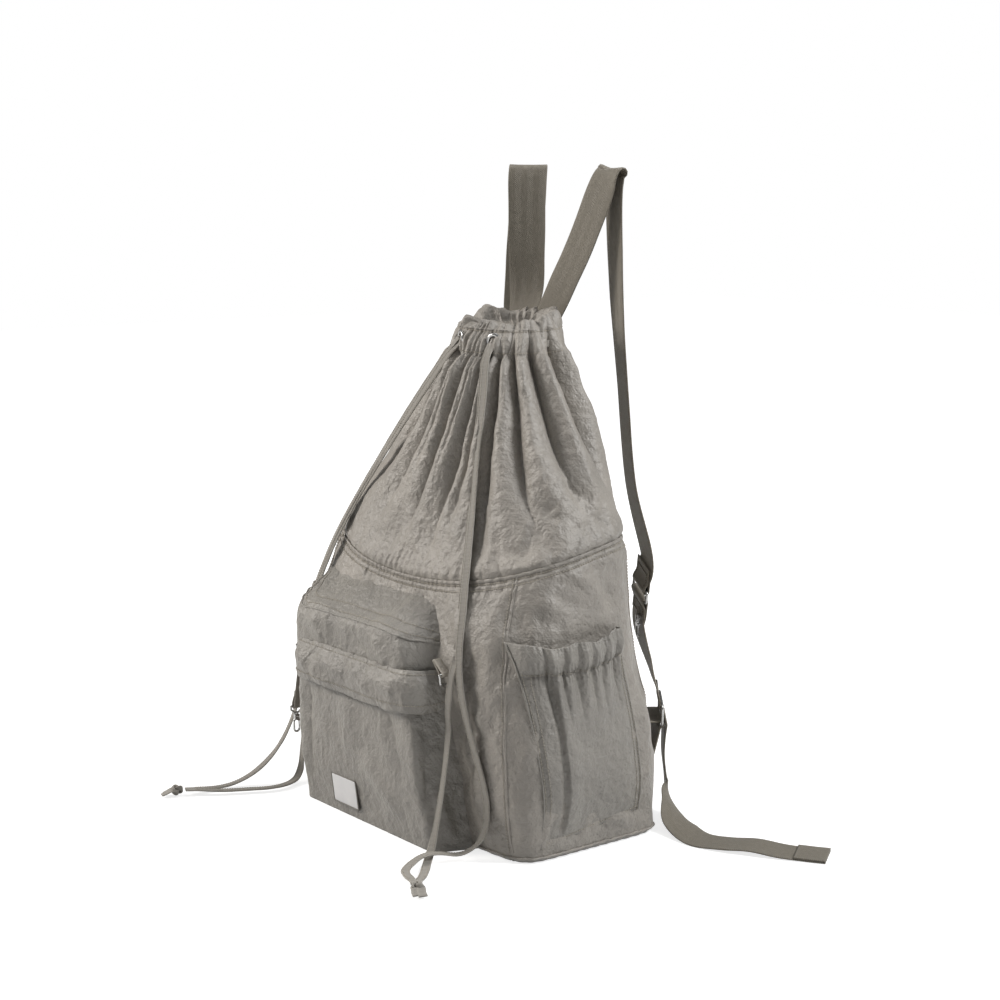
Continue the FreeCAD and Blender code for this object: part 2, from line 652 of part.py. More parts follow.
def make_label():
    """Frame and bare plate lying on the leaning foot of the pocket's front."""
    lean = math.degrees(math.atan((POCKET_FRONT_FOOT - POCKET_FRONT) / POCKET_FOOT_HEIGHT))
    face_y = POCKET_FRONT_FOOT + (POCKET_FRONT - POCKET_FRONT_FOOT) * LABEL_Z / POCKET_FOOT_HEIGHT
    place = Vector(LABEL_X, face_y, LABEL_Z)

    def plate(inset, y0, y1):
        wide, tall, cut = LABEL_WIDTH / 2 - inset, LABEL_HEIGHT / 2 - inset, LABEL_CORNER * 0.5
        outline = [(wide - cut, tall), (-wide + cut, tall), (-wide, tall - cut), (-wide, -tall + cut)]
        outline += [(-x, -z) for x, z in outline]
        return prism([(x, y0, z) for x, z in outline], (0, y1 - y0, 0))

    back = -SEAM_GAP
    frame = plate(0, back - LABEL_THICKNESS, back).cut(
        plate(LABEL_RIM, back - LABEL_THICKNESS - 1, back - 0.5)
    )
    white = plate(LABEL_RIM + 0.05, back - 0.5 - LABEL_PLATE, back - 0.5)
    return {
        name: moved(turned(shape, (1, 0, 0), lean), place) for name, shape in (
            ("label_frame", frame), ("label_plate", white)
        )
    }


# ---------------------------------------------------------------- side pockets


def side_stations():
    """For each station: its share from front to back, and Y and height of its top and bottom."""
    for k in range(SIDE_STATIONS):
        share = k / (SIDE_STATIONS - 1)
        top_y, top_z, low_y, low_z = (a + share * (b - a) for a, b in zip(SIDE_FRONT, SIDE_BACK))
        yield share, top_y, top_z - SIDE_TOP_DIP * math.sin(math.pi * share), low_y, low_z


def share_at(station, height):
    """Share of the way from the pocket's top to its bottom at which a station reaches a height."""
    share, top_y, top_z, low_y, low_z = station
    return (top_z - height) / (top_z - low_z)


def side_ring(station, profile):
    """Profile points (offset from the pocket's inner face, share from top to bottom) set on the body's side."""
    share, top_y, top_z, low_y, low_z = station
    bulge = math.sin(math.pi * share) ** 0.6 if 0 < share < 1 else 0.0
    ring = []
    for offset, down in profile:
        y, z = top_y + (low_y - top_y) * down, top_z + (low_z - top_z) * down
        gap = SEAM_GAP + (SIDE_TOP_GAP - SEAM_GAP) * bulge * (1 - down) ** 1.1
        ring.append(Vector(side_x(y, z, gap + offset), y, z))
    return ring


def pocket_profile(station):
    """Cross-section of the pocket's cloth: up the outside, over the hem, down inside it and down to the foot."""
    hem = HEM_HEIGHT / (SIDE_FRONT[1] - SIDE_FRONT[3])
    cloth, swell, ply = POCKET_CLOTH, POCKET_CLOTH + HEM_SWELL, HEM_PLY
    # the cloth follows the body's widest levels
    wide, full = share_at(station, BODY_LEVELS[2][0]), share_at(station, BODY_LEVELS[3][0])
    profile = [(cloth, 1.0), (cloth, wide), (cloth, full), (cloth, hem * 1.35)]
    profile += [(swell, hem), (swell, hem / 2), (swell, 0.0), (0.0, 0.0), (0.0, hem / 2), (0.0, hem * 0.92)]
    profile += [(ply, hem * 0.92), (ply, hem / 2), (ply, 0.01), (swell - ply, 0.01), (swell - ply, hem / 2)]
    return profile + [(swell - ply, hem * 0.9), (0.0, hem * 1.2), (0.0, full), (0.0, wide), (0.0, 1.0)]


def make_side_pocket():
    """Pocket cloth whose hem is turned over into a tunnel, and the elastic band in it."""
    hem = HEM_HEIGHT / (SIDE_FRONT[1] - SIDE_FRONT[3])
    margin = ELASTIC_MARGIN / (SIDE_FRONT[1] - SIDE_FRONT[3])
    pocket = skin([side_ring(station, pocket_profile(station)) for station in side_stations()])
    inner = (POCKET_CLOTH + HEM_SWELL - ELASTIC_THICKNESS) / 2
    outer = inner + ELASTIC_THICKNESS
    strip = [(outer, hem - margin * 1.4), (outer, hem / 2), (outer, margin)]
    strip += [(inner, down) for _, down in reversed(strip)]
    return pocket, skin([side_ring(station, strip) for station in side_stations()])


# ---------------------------------------------------------------- rings, tabs and clasps


def make_tab(side):
    """Folded tab from the pocket's seam, with the straight bar of a half-round ring in its fold."""
    way = 1 if side == "right" else -1
    root = Vector(*TAB_ROOTS[side])
    droop = math.radians(TAB_DROOP)
    inward = Vector(-way * math.cos(droop), 0, math.sin(droop))
    bar = root - inward * TAB_LENGTH
    radius = D_RING_WIRE + 0.3 + TAB_THICKNESS / 2
    up = Vector(0, 1, 0).cross(inward) * way
    fold = [
        bar + up * (radius * math.cos(a)) - inward * (radius * math.sin(a)) for a in [
            math.pi * k / 8 for k in range(9)
        ]
    ]
    seam = POCKET_CLOTH / 2
    upper, lower = root + up * seam, root - up * seam
    tab = band([(tuple(point), (0, 1, 0)) for point in [upper] + fold + [lower]], TAB_WIDTH, TAB_THICKNESS)
    half, deep = D_RING_HALF_WIDTH, D_RING_DEPTH
    side_run = [(half, 0), (half, -0.65 * deep), (half - 0.4, -0.9 * deep), (half - 1.3, -deep)]
    outline = side_run + [(-y, z) for y, z in reversed(side_run)]
    ring = bent_wire([bar + Vector(0, y, z) for y, z in outline], (1, 0, 0), D_RING_WIRE, True)
    return tab, ring, bar


def hang(shape, axis, degrees, point):
    return moved(turned(shape, axis, degrees), point)


def make_key_strap(ring_bottom):
    """Narrow strap looped over the ring's wire above and the clasp's eye below; returns strap and lower bar."""
    ply = KEY_STRAP_THICKNESS + 0.3
    top_radius = D_RING_WIRE + 0.3 + KEY_STRAP_THICKNESS / 2
    low_radius = HOOK_WIRE + 0.3 + KEY_STRAP_THICKNESS / 2
    length, back = KEY_STRAP_LENGTH, KEY_STRAP_TURN_BACK
    # (X, Z) from the upper bar: up the outer side, over the bar, down the inner side, round the lower eye
    path = [(-top_radius, -back), (-top_radius, -6)] + arc_points((0, 0), top_radius, 180, 0, 8)
    path += [(top_radius, -8), (top_radius - 0.6, -back - 4), (top_radius - 0.6, -length + back + 4)]
    path += [(low_radius, -length + 8)] + arc_points((0, -length), low_radius, 0, -180, 8)
    path += [
        (-low_radius, -length + 5), (top_radius - 0.6 - ply, -length + back - 2),
        (top_radius - 0.6 - ply, -length + back + 3)
    ]
    strap = band([((x, 0, z), (0, 1, 0)) for x, z in path], KEY_STRAP_WIDTH, KEY_STRAP_THICKNESS)
    lean = math.radians(KEY_STRAP_LEAN)
    low = ring_bottom + Vector(-length * math.sin(lean), 0, -length * math.cos(lean))
    return hang(strap, (0, 1, 0), KEY_STRAP_LEAN, ring_bottom), low


def hook_path(top):
    """J of a snap hook in the XZ plane: down one side, round the bottom and up to the gate's seat."""
    half, low = HOOK_HALF_WIDTH, top - HOOK_LENGTH + HOOK_HALF_WIDTH
    path = [(0, 0, top), (-half * 0.55, 0, top - 1.4), (-half, 0, top - 3.4)]
    for k in range(7):
        angle = math.pi + math.pi * k / 6
        path.append((half * math.cos(angle), 0, low + half * math.sin(angle)))
    return path


def make_gate(top):
    """Gate between the hook's shoulder and its tip, with a pin hole; returns gate, pin place and cut-outs."""
    half, low = HOOK_HALF_WIDTH, top - HOOK_LENGTH + HOOK_HALF_WIDTH
    pin = (half * 0.85, 0, top - 2.6)
    foot = (half, 0, low + GATE_GAP)
    gate = bent_wire([pin, foot], (0, 1, 0), GATE_THICKNESS / 2, False)
    knuckle = rod((pin[0], -GATE_THICKNESS / 2, pin[2]), (pin[0], GATE_THICKNESS / 2, pin[2]), 1.15, 12)
    bore_radius = (GATE_PIN + GATE_BORE_CLEARANCE) / math.cos(math.pi / 16)
    bore = rod((pin[0], -3, pin[2]), (pin[0], 3, pin[2]), bore_radius, 16)
    return gate.fuse(knuckle).cut(bore).removeSplitter(), pin


def make_hook(top):
    """Hook with two cheeks that hold the gate's pin."""
    path = hook_path(top)
    hook = bent_wire(path, (0, 1, 0), HOOK_WIRE, False)
    gate, pin = make_gate(top)
    inner, outer = GATE_THICKNESS / 2 + GATE_GAP, GATE_THICKNESS / 2 + GATE_GAP + 0.7
    pieces = [rod((pin[0], -outer, pin[2]), (pin[0], outer, pin[2]), GATE_PIN, 16)]
    for low, high in ((inner, outer), (-outer, -inner)):
        cheek = [(-1.2, low, top - 0.2), (1.2, low, top + 0.3), (pin[0] + 0.9, low, pin[2] + 0.9)]
        cheek += [
            (pin[0] + 0.9, low, pin[2] - 0.9), (pin[0] - 0.9, low, pin[2] - 0.9), (-1.2, low, top - 2.2)
        ]
        pieces.append(prism(cheek, (0, high - low, 0)))
    bridge = block(-1.4, 1.1, -outer, outer, top - 1.5, top + 0.4)
    return hook.fuse(pieces + [bridge]).removeSplitter(), gate, pin


def eye_ring(radius, wire):
    """Ten-sided eye in the XZ plane about the origin, its flats at the radius."""
    corner = radius / math.cos(math.pi / 10)
    points = [
        (corner * math.cos(a), 0, corner * math.sin(a)) for a in [2 * math.pi * k / 10 for k in range(10)]
    ]
    return bent_wire(points, (0, 1, 0), wire, True)


def make_strap_clasp():
    """Clasp that hangs by its own eye from a strap: hook with eye, gate, and the gate's pin place."""
    top = -HOOK_EYE_RADIUS - HOOK_WIRE
    hook, gate, pin = make_hook(top)
    return hook.fuse(eye_ring(HOOK_EYE_RADIUS, HOOK_WIRE)).removeSplitter(), gate, pin


def make_key_clasp():
    """Clasp with a swivel: wide eye with a headed pin, hook that turns on it, and gate."""
    wide, deep = KEY_EYE_HALF_WIDTH, KEY_EYE_DEPTH
    side_run = [(wide, 0), (wide, -KEY_EYE_SHOULDER), (2.4, -deep)]
    outline = side_run + [(-x, z) for x, z in reversed(side_run)]
    top = -deep - HOOK_WIRE - 0.4
    floor = top - SWIVEL_BLOCK
    stem = rod((0, 0, top + 1.2), (0, 0, top), SWIVEL_PIN + 0.7, 12)
    pin = rod((0, 0, top + 0.1), (0, 0, floor - 0.5), SWIVEL_PIN, 16)
    head = rod((0, 0, floor - 0.35), (0, 0, floor - 1.1), SWIVEL_PIN + 0.5, 12)
    eye = bent_wire([(x, 0, z) for x, z in outline], (0, 1, 0), HOOK_WIRE, True).fuse([stem, pin, head])
    hook, gate, gate_pin = make_hook(floor - 1.8)
    pieces = [
        block(side * 2.2 - 0.5, side * 2.2 + 0.5, -1.9, 1.9, floor - 3.0, top - 0.35) for side in (1, -1)
    ]
    pieces += [block(-2.7, 2.7, -1.9, 1.9, floor - 3.0, floor - 1.45), hook]
    bore = rod(
        (0, 0, floor - 1), (0, 0, top + 1), (SWIVEL_PIN + SWIVEL_CLEARANCE) / math.cos(math.pi / 16), 16
    )
    collar = block(-2.2, 2.2, -1.9, 1.9, floor, top - 0.35).cut(bore)
    return eye.removeSplitter(), collar.fuse(pieces).removeSplitter(), gate, gate_pin


# ---------------------------------------------------------------- shoulder straps


def fitting_frame(centre, turn, lean):
    """Centre, across, outward and up directions of a strap fitting."""
    turn, lean = math.radians(turn), math.radians(lean)
    level = Vector(math.cos(turn), math.sin(turn), 0)
    outward = Vector(-math.sin(turn), math.cos(turn), 0)
    across = level * math.cos(lean) - Vector(0, 0, 1) * math.sin(lean)
    return Vector(*centre), across, outward, across.cross(outward)


RING_FRAME = fitting_frame(RING_CENTRE, RING_TURN, RING_LEAN)
GLIDE_FRAME = fitting_frame(GLIDE_CENTRE, GLIDE_TURN, GLIDE_LEAN)
WRAP = RING_WIRE / 2 + 0.3 + WEBBING / 2
GLIDE_WRAP = GLIDE_BAR / 2 + 0.3 + WEBBING / 2
GLIDE_PITCH = GLIDE_SLOT + GLIDE_BAR


def at(frame, along, depth, height):
    """Point given along the fitting's bars, outwards from its face and up."""
    centre, across, outward, up = frame
    return centre + across * along + outward * depth + up * height


def beside(frame, points):
    """Strip stations given as (depth, height) beside a fitting, the strip lying across its bars."""
    return [(tuple(at(frame, 0, depth, height)), tuple(frame[1])) for depth, height in points]


def make_ring():
    """Rectangular wire ring with rounded corners."""
    wide, tall, corner = RING_INNER_WIDTH / 2 + RING_WIRE / 2, RING_BAR_SPACING / 2, 2.2
    points = []
    for quarter, (side, rise) in enumerate(((1, 1), (-1, 1), (-1, -1), (1, -1))):
        for k in range(3):
            angle = math.radians(90 * quarter + 45 * k)
            along = side * (wide - corner) + corner * math.cos(angle)
            points.append(at(RING_FRAME, along, 0, rise * (tall - corner) + corner * math.sin(angle)))
    return bent_wire(points, RING_FRAME[2], RING_WIRE / 2, True)


def make_glide():
    """Strap adjuster: three bars, two slots and rounded ends."""
    wide, tall, chamfer = GLIDE_INNER_WIDTH / 2, GLIDE_PITCH + GLIDE_BAR / 2, 1.2
    half = GLIDE_BAR / 2
    pieces = []
    for k in (-1, 0, 1):
        ends = [at(GLIDE_FRAME, side * (wide + 0.5), 0, k * GLIDE_PITCH) for side in (-1, 1)]
        pieces.append(rod(ends[0], ends[1], half / math.cos(math.pi / 8), 8))
    for side in (1, -1):
        outline = [(wide, -tall), (wide + GLIDE_SIDE - chamfer, -tall), (wide + GLIDE_SIDE, -tall + chamfer)]
        outline += [(wide + GLIDE_SIDE, tall - chamfer), (wide + GLIDE_SIDE - chamfer, tall), (wide, tall)]
        rings = [
            [
                at(GLIDE_FRAME, side * along, depth, height) for along, height in outline
            ] for depth in (-half, half)
        ]
        pieces.append(skin(rings))
    return pieces[0].fuse(pieces[1:]).removeSplitter()


def upper_strap(run):
    """From the sewn root over the top and down to the ring, round its bar and back up on itself."""
    bar, ply = RING_BAR_SPACING / 2, WEBBING + 0.3
    free = run + beside(RING_FRAME, [(WRAP, bar + 34), (WRAP, bar + 14)])
    end = arc_points((0, bar), WRAP, 0, -180, 8)
    end += [(-WRAP * 0.6, bar + 4), (WRAP - ply - 0.1, bar + 9), (WRAP - ply, bar + 9 + STRAP_TURN_BACK)]
    return band(smooth(free, RUN_STEPS) + beside(RING_FRAME, end), WEBBING_WIDTH, WEBBING)


def lower_strap():
    """From its stitched end round the ring's lower bar, down through the adjuster and along the floor."""
    bar, ply = -RING_BAR_SPACING / 2, WEBBING + 0.3
    head = [(WRAP - ply, bar - 9 - STRAP_TURN_BACK / 2), (WRAP - ply - 0.1, bar - 9), (-WRAP * 0.6, bar - 4)]
    head += arc_points((0, bar), WRAP, 180, 0, 8)
    weave = [(-GLIDE_WRAP, GLIDE_PITCH + 4), (-GLIDE_WRAP, GLIDE_PITCH - 0.5), (-1.4, GLIDE_PITCH / 2 + 0.8)]
    weave += [
        (GLIDE_WRAP - 0.7, 2.2), (GLIDE_WRAP, 0.0), (GLIDE_WRAP + 0.6, -3.5),
        (GLIDE_WRAP + 2.4, -GLIDE_PITCH)
    ]
    weave += [(GLIDE_WRAP + 1.8, -GLIDE_PITCH - 6)]
    run = beside(RING_FRAME, [(WRAP, bar - 14), (WRAP, bar - 34)]) + LOWER_RUN
    run += beside(GLIDE_FRAME, [(-GLIDE_WRAP - 1.0, GLIDE_PITCH + 10)])
    tail = [
        (tuple(at(GLIDE_FRAME, 0, GLIDE_WRAP + 1.0, -GLIDE_PITCH - 14)), tuple(GLIDE_FRAME[1]))
    ] + TAIL_RUN
    stations = beside(RING_FRAME, head) + smooth(run, RUN_STEPS) + beside(
        GLIDE_FRAME, weave
    ) + smooth(tail, 3)
    return band(stations, WEBBING_WIDTH, WEBBING)


def on_back(x, height):
    """Strip station lying on the bag's back, with the direction across the strip."""
    out = SEAM_GAP + WEBBING / 2 + 0.6
    y = back_y(x, height, out)
    slope = (back_y(x + 5, height, out) - back_y(x - 5, height, out)) / 10
    return ((x, y, height), (1.0, slope, 0.0))


def anchor_webbing():
    """Webbing sewn to the bag's back above and below, looped round the adjuster's lowest bar between."""
    wrap = arc_points((0, -GLIDE_PITCH), GLIDE_WRAP, 105, -95, 10)
    upper = [on_back(ANCHOR_X, ANCHOR_TOP + 12), on_back(ANCHOR_X, ANCHOR_TOP)]
    upper += beside(GLIDE_FRAME, [(-6.0, -GLIDE_PITCH + GLIDE_WRAP)])
    lower = beside(GLIDE_FRAME, [(-4.0, -GLIDE_PITCH - GLIDE_WRAP - 4.0)])
    lower += [on_back(ANCHOR_X + 4, ANCHOR_FOOT + 14), on_back(ANCHOR_X + 4, ANCHOR_FOOT)]
    stations = smooth(upper, 3) + beside(GLIDE_FRAME, wrap) + smooth(lower, 4)
    return band(stations, WEBBING_WIDTH, WEBBING)


def make_clasp_set():
    """Clasp beside the lower strap's stitched end, hanging from a small folded loop."""
    along, depth = CLASP_OFFSET
    end_height = -RING_BAR_SPACING / 2 - 9 - STRAP_TURN_BACK / 2
    eye = at(RING_FRAME, along, depth, end_height - 8)
    turn = RING_TURN
    radius = HOOK_WIRE + 0.3 + CLASP_LOOP_THICKNESS / 2
    bar = eye + Vector(0, 0, HOOK_EYE_RADIUS)
    hook, gate, pin = make_strap_clasp()
    outward, level = RING_FRAME[2], Vector(math.cos(math.radians(turn)), math.sin(math.radians(turn)), 0)
    rise = 6.0
    ply = CLASP_LOOP_THICKNESS + 0.3
    sewn = WRAP - WEBBING - 0.3 - WEBBING / 2 - 0.3 - CLASP_LOOP_THICKNESS / 2 - depth
    plies = [(sewn - ply, rise + 2.5), (sewn - ply, rise)] + arc_points((0, 0), radius, 180, 360, 8)
    plies += [(radius, 1.5), (sewn, rise), (sewn, rise + 2.5)]
    stations = [(tuple(bar + outward * d + Vector(0, 0, h)), tuple(level)) for d, h in plies]
    loop = band(stations, CLASP_LOOP_WIDTH, CLASP_LOOP_THICKNESS)
    print(
        "clasp bar", [round(value, 2) for value in bar], "gate pin in the clasp",
        [round(value, 3) for value in pin]
    )
    return loop, hang(hook, (0, 0, 1), turn, eye), hang(gate, (0, 0, 1), turn, eye)


# Free runs of the webbing: centre of the strip and the direction across it
RIGHT_RUN = [
    ((3.0, 88.2, 452.0), (1.0, 0.0, 0.0)),
    ((3.5, 88.8, 487.0), (1.0, 0.0, 0.0)),
    ((19.0, 91.5, 518.0), (1.0, 0.0, 0.0)),
    ((51.0, 92.0, 566.0), (1.0, 0.0, 0.0)),
    ((79.0, 92.0, 615.0), (1.0, 0.0, 0.0)),
    ((89.5, 93.5, 636.0), (1.0, -0.1, 0.0)),
    ((91.0, 98.5, 641.5), (1.0, -0.2, 0.0)),
    ((89.0, 104.0, 635.0), (1.0, -0.25, 0.0)),
    ((85.0, 107.0, 605.0), (1.0, -0.3, 0.0)),
    ((78.0, 118.0, 513.0), (1.0, -0.4, 0.0)),
    ((80.0, 125.0, 430.0), (0.95, -0.45, -0.1)),
    ((91.0, 127.5, 330.0), (0.9, -0.42, -0.25)),
]
# mirrored: the left strap's front layer faces outwards and to the front
LEFT_RUN = [
    ((39.0, 88.2, 452.0), (1.0, 0.0, 0.0)),
    ((39.0, 88.8, 484.0), (1.0, 0.0, 0.0)),
    ((37.0, 95.0, 520.0), (0.9, -0.42, 0.0)),
    ((33.0, 92.0, 566.0), (0.74, -0.68, 0.0)),
    ((28.0, 88.0, 620.0), (0.63, -0.78, 0.0)),
    ((27.5, 88.5, 639.0), (0.63, -0.78, 0.0)),
    ((31.0, 92.5, 645.0), (0.63, -0.78, 0.0)),
    ((36.5, 97.0, 638.0), (0.63, -0.78, 0.0)),
    ((53.0, 108.0, 600.0), (0.67, -0.74, 0.0)),
    ((77.0, 121.0, 513.0), (0.74, -0.67, 0.0)),
    ((92.0, 127.0, 430.0), (0.82, -0.56, -0.1)),
    ((101.0, 128.5, 330.0), (0.88, -0.45, -0.25)),
]
LOWER_RUN = [
    ((139.0, 114.5, 152.0), (0.84, -0.5, -0.2)),
]
TAIL_RUN = [
    ((153.0, 119.5, 66.0), (0.78, -0.62, 0.0)),
    ((154.5, 121.5, 43.0), (0.78, -0.62, 0.0)),
    ((162.0, 118.5, 27.0), (0.78, -0.6, 0.1)),
    ((179.0, 109.5, 17.5), (0.1, -0.77, 0.62)),
    ((203.0, 98.0, 6.4), (-0.25, -0.95, 0.22)),
    ((234.0, 93.0, 1.4), (0.07, -1.0, 0.0)),
    ((262.0, 102.0, 2.8), (0.4, -0.91, 0.0)),
    ((286.0, 116.0, 4.8), (0.51, -0.86, 0.0)),
    ((309.0, 130.0, 2.4), (0.55, -0.84, 0.0)),
    ((330.0, 145.0, 1.3), (0.58, -0.82, 0.0)),
    ((345.0, 155.5, 1.2), (0.57, -0.82, 0.0)),
]


def make_straps(side, run, flip):
    loop, hook, gate = make_clasp_set()
    shapes = {
        "upper_strap_": upper_strap(run),
        "strap_ring_": make_ring(),
        "lower_strap_": lower_strap(),
        "triglide_": make_glide(),
        "anchor_webbing_": anchor_webbing(),
        "clasp_loop_": loop,
        "strap_clasp_": hook,
        "strap_clasp_gate_": gate,
    }
    return {name + side: flip(shape) for name, shape in shapes.items()}


# ---------------------------------------------------------------- drawcords outside the bag

# Two strands leave each eyelet side by side; A and B lie this far either way of the shared run, then part.
STRAND_OFFSETS = {"right": (2.5, 0.0, 0.0), "left": (2.0, 0.0, -1.5)}
RIGHT_SHARED = [
    (26.7, 1.8, 473.6),
    (27.0, -7.5, 460.5),
    (33.5, -14.5, 436.0),
    (42.5, -24.0, 407.5),
    (49.5, -35.0, 374.5),
    (60.0, -46.5, 340.0),
    (75.5, -62.5, 303.5),
    (91.0, -79.5, 266.0),
    (104.5, -94.5, 228.0),
    (113.0, -106.0, 192.0),
]
RIGHT_A = [
    (112.0, -113.0, 160.0),
    (110.5, -114.5, 128.0),
    (113.0, -120.0, 95.0),
    (116.0, -128.0, 62.0),
    (118.5, -136.0, 33.0),
    (121.0, -143.0, 14.0),
    (126.0, -151.0, 4.6),
    (134.0, -159.0, 2.4),
    (146.0, -169.5, 2.3),
    (160.0, -182.5, 3.4),
    (168.6, -193.1, 5.2),
    (176.3, -197.4, 5.9),
]
RIGHT_B = [
    (124.0, -110.5, 160.0),
    (131.5, -108.5, 131.0),
    (140.0, -106.0, 104.0),
    (149.0, -103.0, 77.0),
    (153.0, -100.0, 49.0),
    (152.0, -103.5, 25.0),
    (145.5, -112.0, 10.0),
    (137.0, -124.5, 3.4),
    (132.0, -142.0, 8.6),
    (127.0, -158.0, 8.6),
    (127.5, -173.0, 3.0),
    (138.0, -187.0, 2.4),
    (156.0, -195.0, 4.0),
    (166.2, -197.3, 5.4),
    (173.9, -201.6, 5.9),
]
LEFT_SHARED = [
    (-26.7, 1.8, 473.6),
    (-33.0, -7.5, 460.0),
    (-48.0, -10.0, 443.0),
    (-62.0, -15.0, 424.0),
    (-79.5, -20.0, 401.0),
    (-97.0, -27.0, 375.0),
    (-114.0, -35.0, 347.0),
    (-126.0, -47.5, 319.0),
    (-134.0, -62.5, 290.0),
    (-139.5, -75.0, 265.0),
    (-145.0, -86.0, 237.0),
    (-149.5, -96.5, 207.0),
    (-153.5, -104.0, 175.0),
]
LEFT_A = [
    (-161.0, -107.0, 135.0),
    (-172.0, -102.0, 95.0),
    (-187.0, -104.5, 62.0),
    (-187.5, -115.5, 42.0),
    (-184.0, -131.0, 28.5),
    (-183.0, -146.0, 18.0),
    (-184.5, -160.0, 10.0),
    (-188.0, -177.0, 3.6),
    (-190.5, -197.0, 2.4),
    (-194.6, -221.3, 5.2),
    (-197.9, -229.4, 5.9),
]
LEFT_B = [
    (-156.5, -105.0, 140.0),
    (-160.0, -103.5, 105.0),
    (-164.0, -101.5, 70.0),
    (-166.5, -103.0, 36.0),
    (-166.0, -106.5, 14.5),
    (-163.0, -112.5, 6.0),
    (-158.5, -120.0, 2.6),
    (-152.5, -132.0, 2.3),
    (-150.0, -145.0, 2.4),
    (-153.0, -159.0, 2.3),
    (-161.5, -175.0, 2.4),
    (-171.5, -196.0, 2.3),
    (-182.5, -213.0, 3.6),
    (-190.2, -223.1, 5.3),
    (-193.5, -231.2, 5.9),
]
KNOTS = {"right": ((183.2, -204.3), (0.87, -0.49, 0.0)), "left": ((-199.2, -238.8), (-0.38, -0.92, 0.0))}


def strand(shared, offset, way, own):
    """Route of one strand: the shared run shifted to one side, then its own way."""
    return [tuple(value + way * shift for value, shift in zip(point, offset)) for point in shared] + own


def make_knot(centre, towards):
    """Tied knot lying on the floor, its flat mouth turned back along the strands."""
    half = KNOT_LENGTH / 2
    turn = FreeCAD.Rotation(Vector(0, 0, 1), Vector(*towards))
    middle = Vector(centre[0], centre[1], KNOT_RADIUS + 0.1)
    rings = []
    for along, share in ((-half, 0.85), (-half * 0.5, 1.0), (0, 0.82), (half * 0.5, 1.0), (half, 0.6)):
        angles = [2 * math.pi * (k + 0.5) / 12 for k in range(12)]
        radius = KNOT_RADIUS * share
        rings.append(
            [middle + turn.multVec(Vector(radius * math.cos(a), radius * math.sin(a), along)) for a in angles]
        )
    return skin(rings)


def make_drawcords():
    right, left = STRAND_OFFSETS["right"], STRAND_OFFSETS["left"]
    routes = {
        "drawcord_right_a": strand(RIGHT_SHARED, right, -1, RIGHT_A),
        "drawcord_right_b": strand(RIGHT_SHARED, right, 1, RIGHT_B),
        "drawcord_left_a": strand(LEFT_SHARED, left, -1, LEFT_A),
        "drawcord_left_b": strand(LEFT_SHARED, left, 1, LEFT_B),
    }
    parts = {name: cord_tube(name, points) for name, points in routes.items()}
    for side, (centre, towards) in KNOTS.items():
        parts["drawcord_knot_" + side] = make_knot(centre, towards)
    return parts


# ---------------------------------------------------------------- the whole bag


def build():
    parts = make_body()
    parts.update(make_mouth())
    parts.update(make_front_pocket(form(SEAM_GAP)))
    pocket, elastic = make_side_pocket()
    for side, flip in (("right", lambda shape: shape), ("left", mirrored)):
        parts["side_pocket_" + side] = flip(pocket)
        parts["elastic_band_" + side] = flip(elastic)
        tab, ring, bar = make_tab(side)
        parts["d_ring_tab_" + side] = tab
        parts["d_ring_" + side] = ring
        print("d ring bar", side, [round(value, 2) for value in bar])
        parts.update(make_straps(side, RIGHT_RUN if side == "right" else LEFT_RUN, flip))
    ring_bottom = bar - Vector(0, 0, D_RING_DEPTH)
    parts["key_strap"], eye = make_key_strap(ring_bottom)
    for name, shape in zip(("key_clasp_eye", "key_clasp_hook", "key_clasp_gate"), make_key_clasp()[:3]):
        parts[name] = hang(shape, (0, 0, 1), 90, eye)
    print("key clasp eye bar", [round(value, 2) for value in eye], make_key_clasp()[3])
    parts.update(make_drawcords())
    return parts


def main():
    os.makedirs("parts", exist_ok=True)
    for name, shape in sorted(build().items()):
        if not shape.isValid() or len(shape.Solids) != 1:
            print("CHECK", name, "valid", shape.isValid(), "solids", len(shape.Solids))
        shape.exportStep("parts/" + name + ".step")


main()
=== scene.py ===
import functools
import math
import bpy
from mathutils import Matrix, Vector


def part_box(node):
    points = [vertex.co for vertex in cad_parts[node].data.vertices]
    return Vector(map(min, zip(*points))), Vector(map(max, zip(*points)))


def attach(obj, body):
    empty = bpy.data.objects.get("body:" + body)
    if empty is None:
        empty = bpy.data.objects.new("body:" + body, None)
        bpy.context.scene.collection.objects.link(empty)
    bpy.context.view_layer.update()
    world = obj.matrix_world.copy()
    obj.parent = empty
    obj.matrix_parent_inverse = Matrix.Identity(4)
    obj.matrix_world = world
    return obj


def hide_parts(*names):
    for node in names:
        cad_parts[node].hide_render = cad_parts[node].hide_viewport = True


bl_info = {
    "name": "Drawstring backpack dressing",
    "version": (1, 0, 0),
    "blender": (4, 5, 0),
    "location": "3D View > Sidebar > Bag",
    "description": "Dresses the packed frame of a drawstring backpack in cloth, webbing, cord and metal",
    "category": "Object",
}

import bpy
import mathutils
import numpy as np

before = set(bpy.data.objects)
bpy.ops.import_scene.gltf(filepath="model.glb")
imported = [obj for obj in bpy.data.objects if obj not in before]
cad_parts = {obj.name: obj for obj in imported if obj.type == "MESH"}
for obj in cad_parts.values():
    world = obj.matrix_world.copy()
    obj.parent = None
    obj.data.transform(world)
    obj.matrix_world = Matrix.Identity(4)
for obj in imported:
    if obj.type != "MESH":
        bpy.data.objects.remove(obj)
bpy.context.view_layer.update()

MM = 0.001  # the sizes below are in millimetres, the meshes in metres
UP = np.array([0.0, 0.0, 1.0])
SIDES = (("right", 1), ("left", -1))  # the bag's sides, and the sign of X there

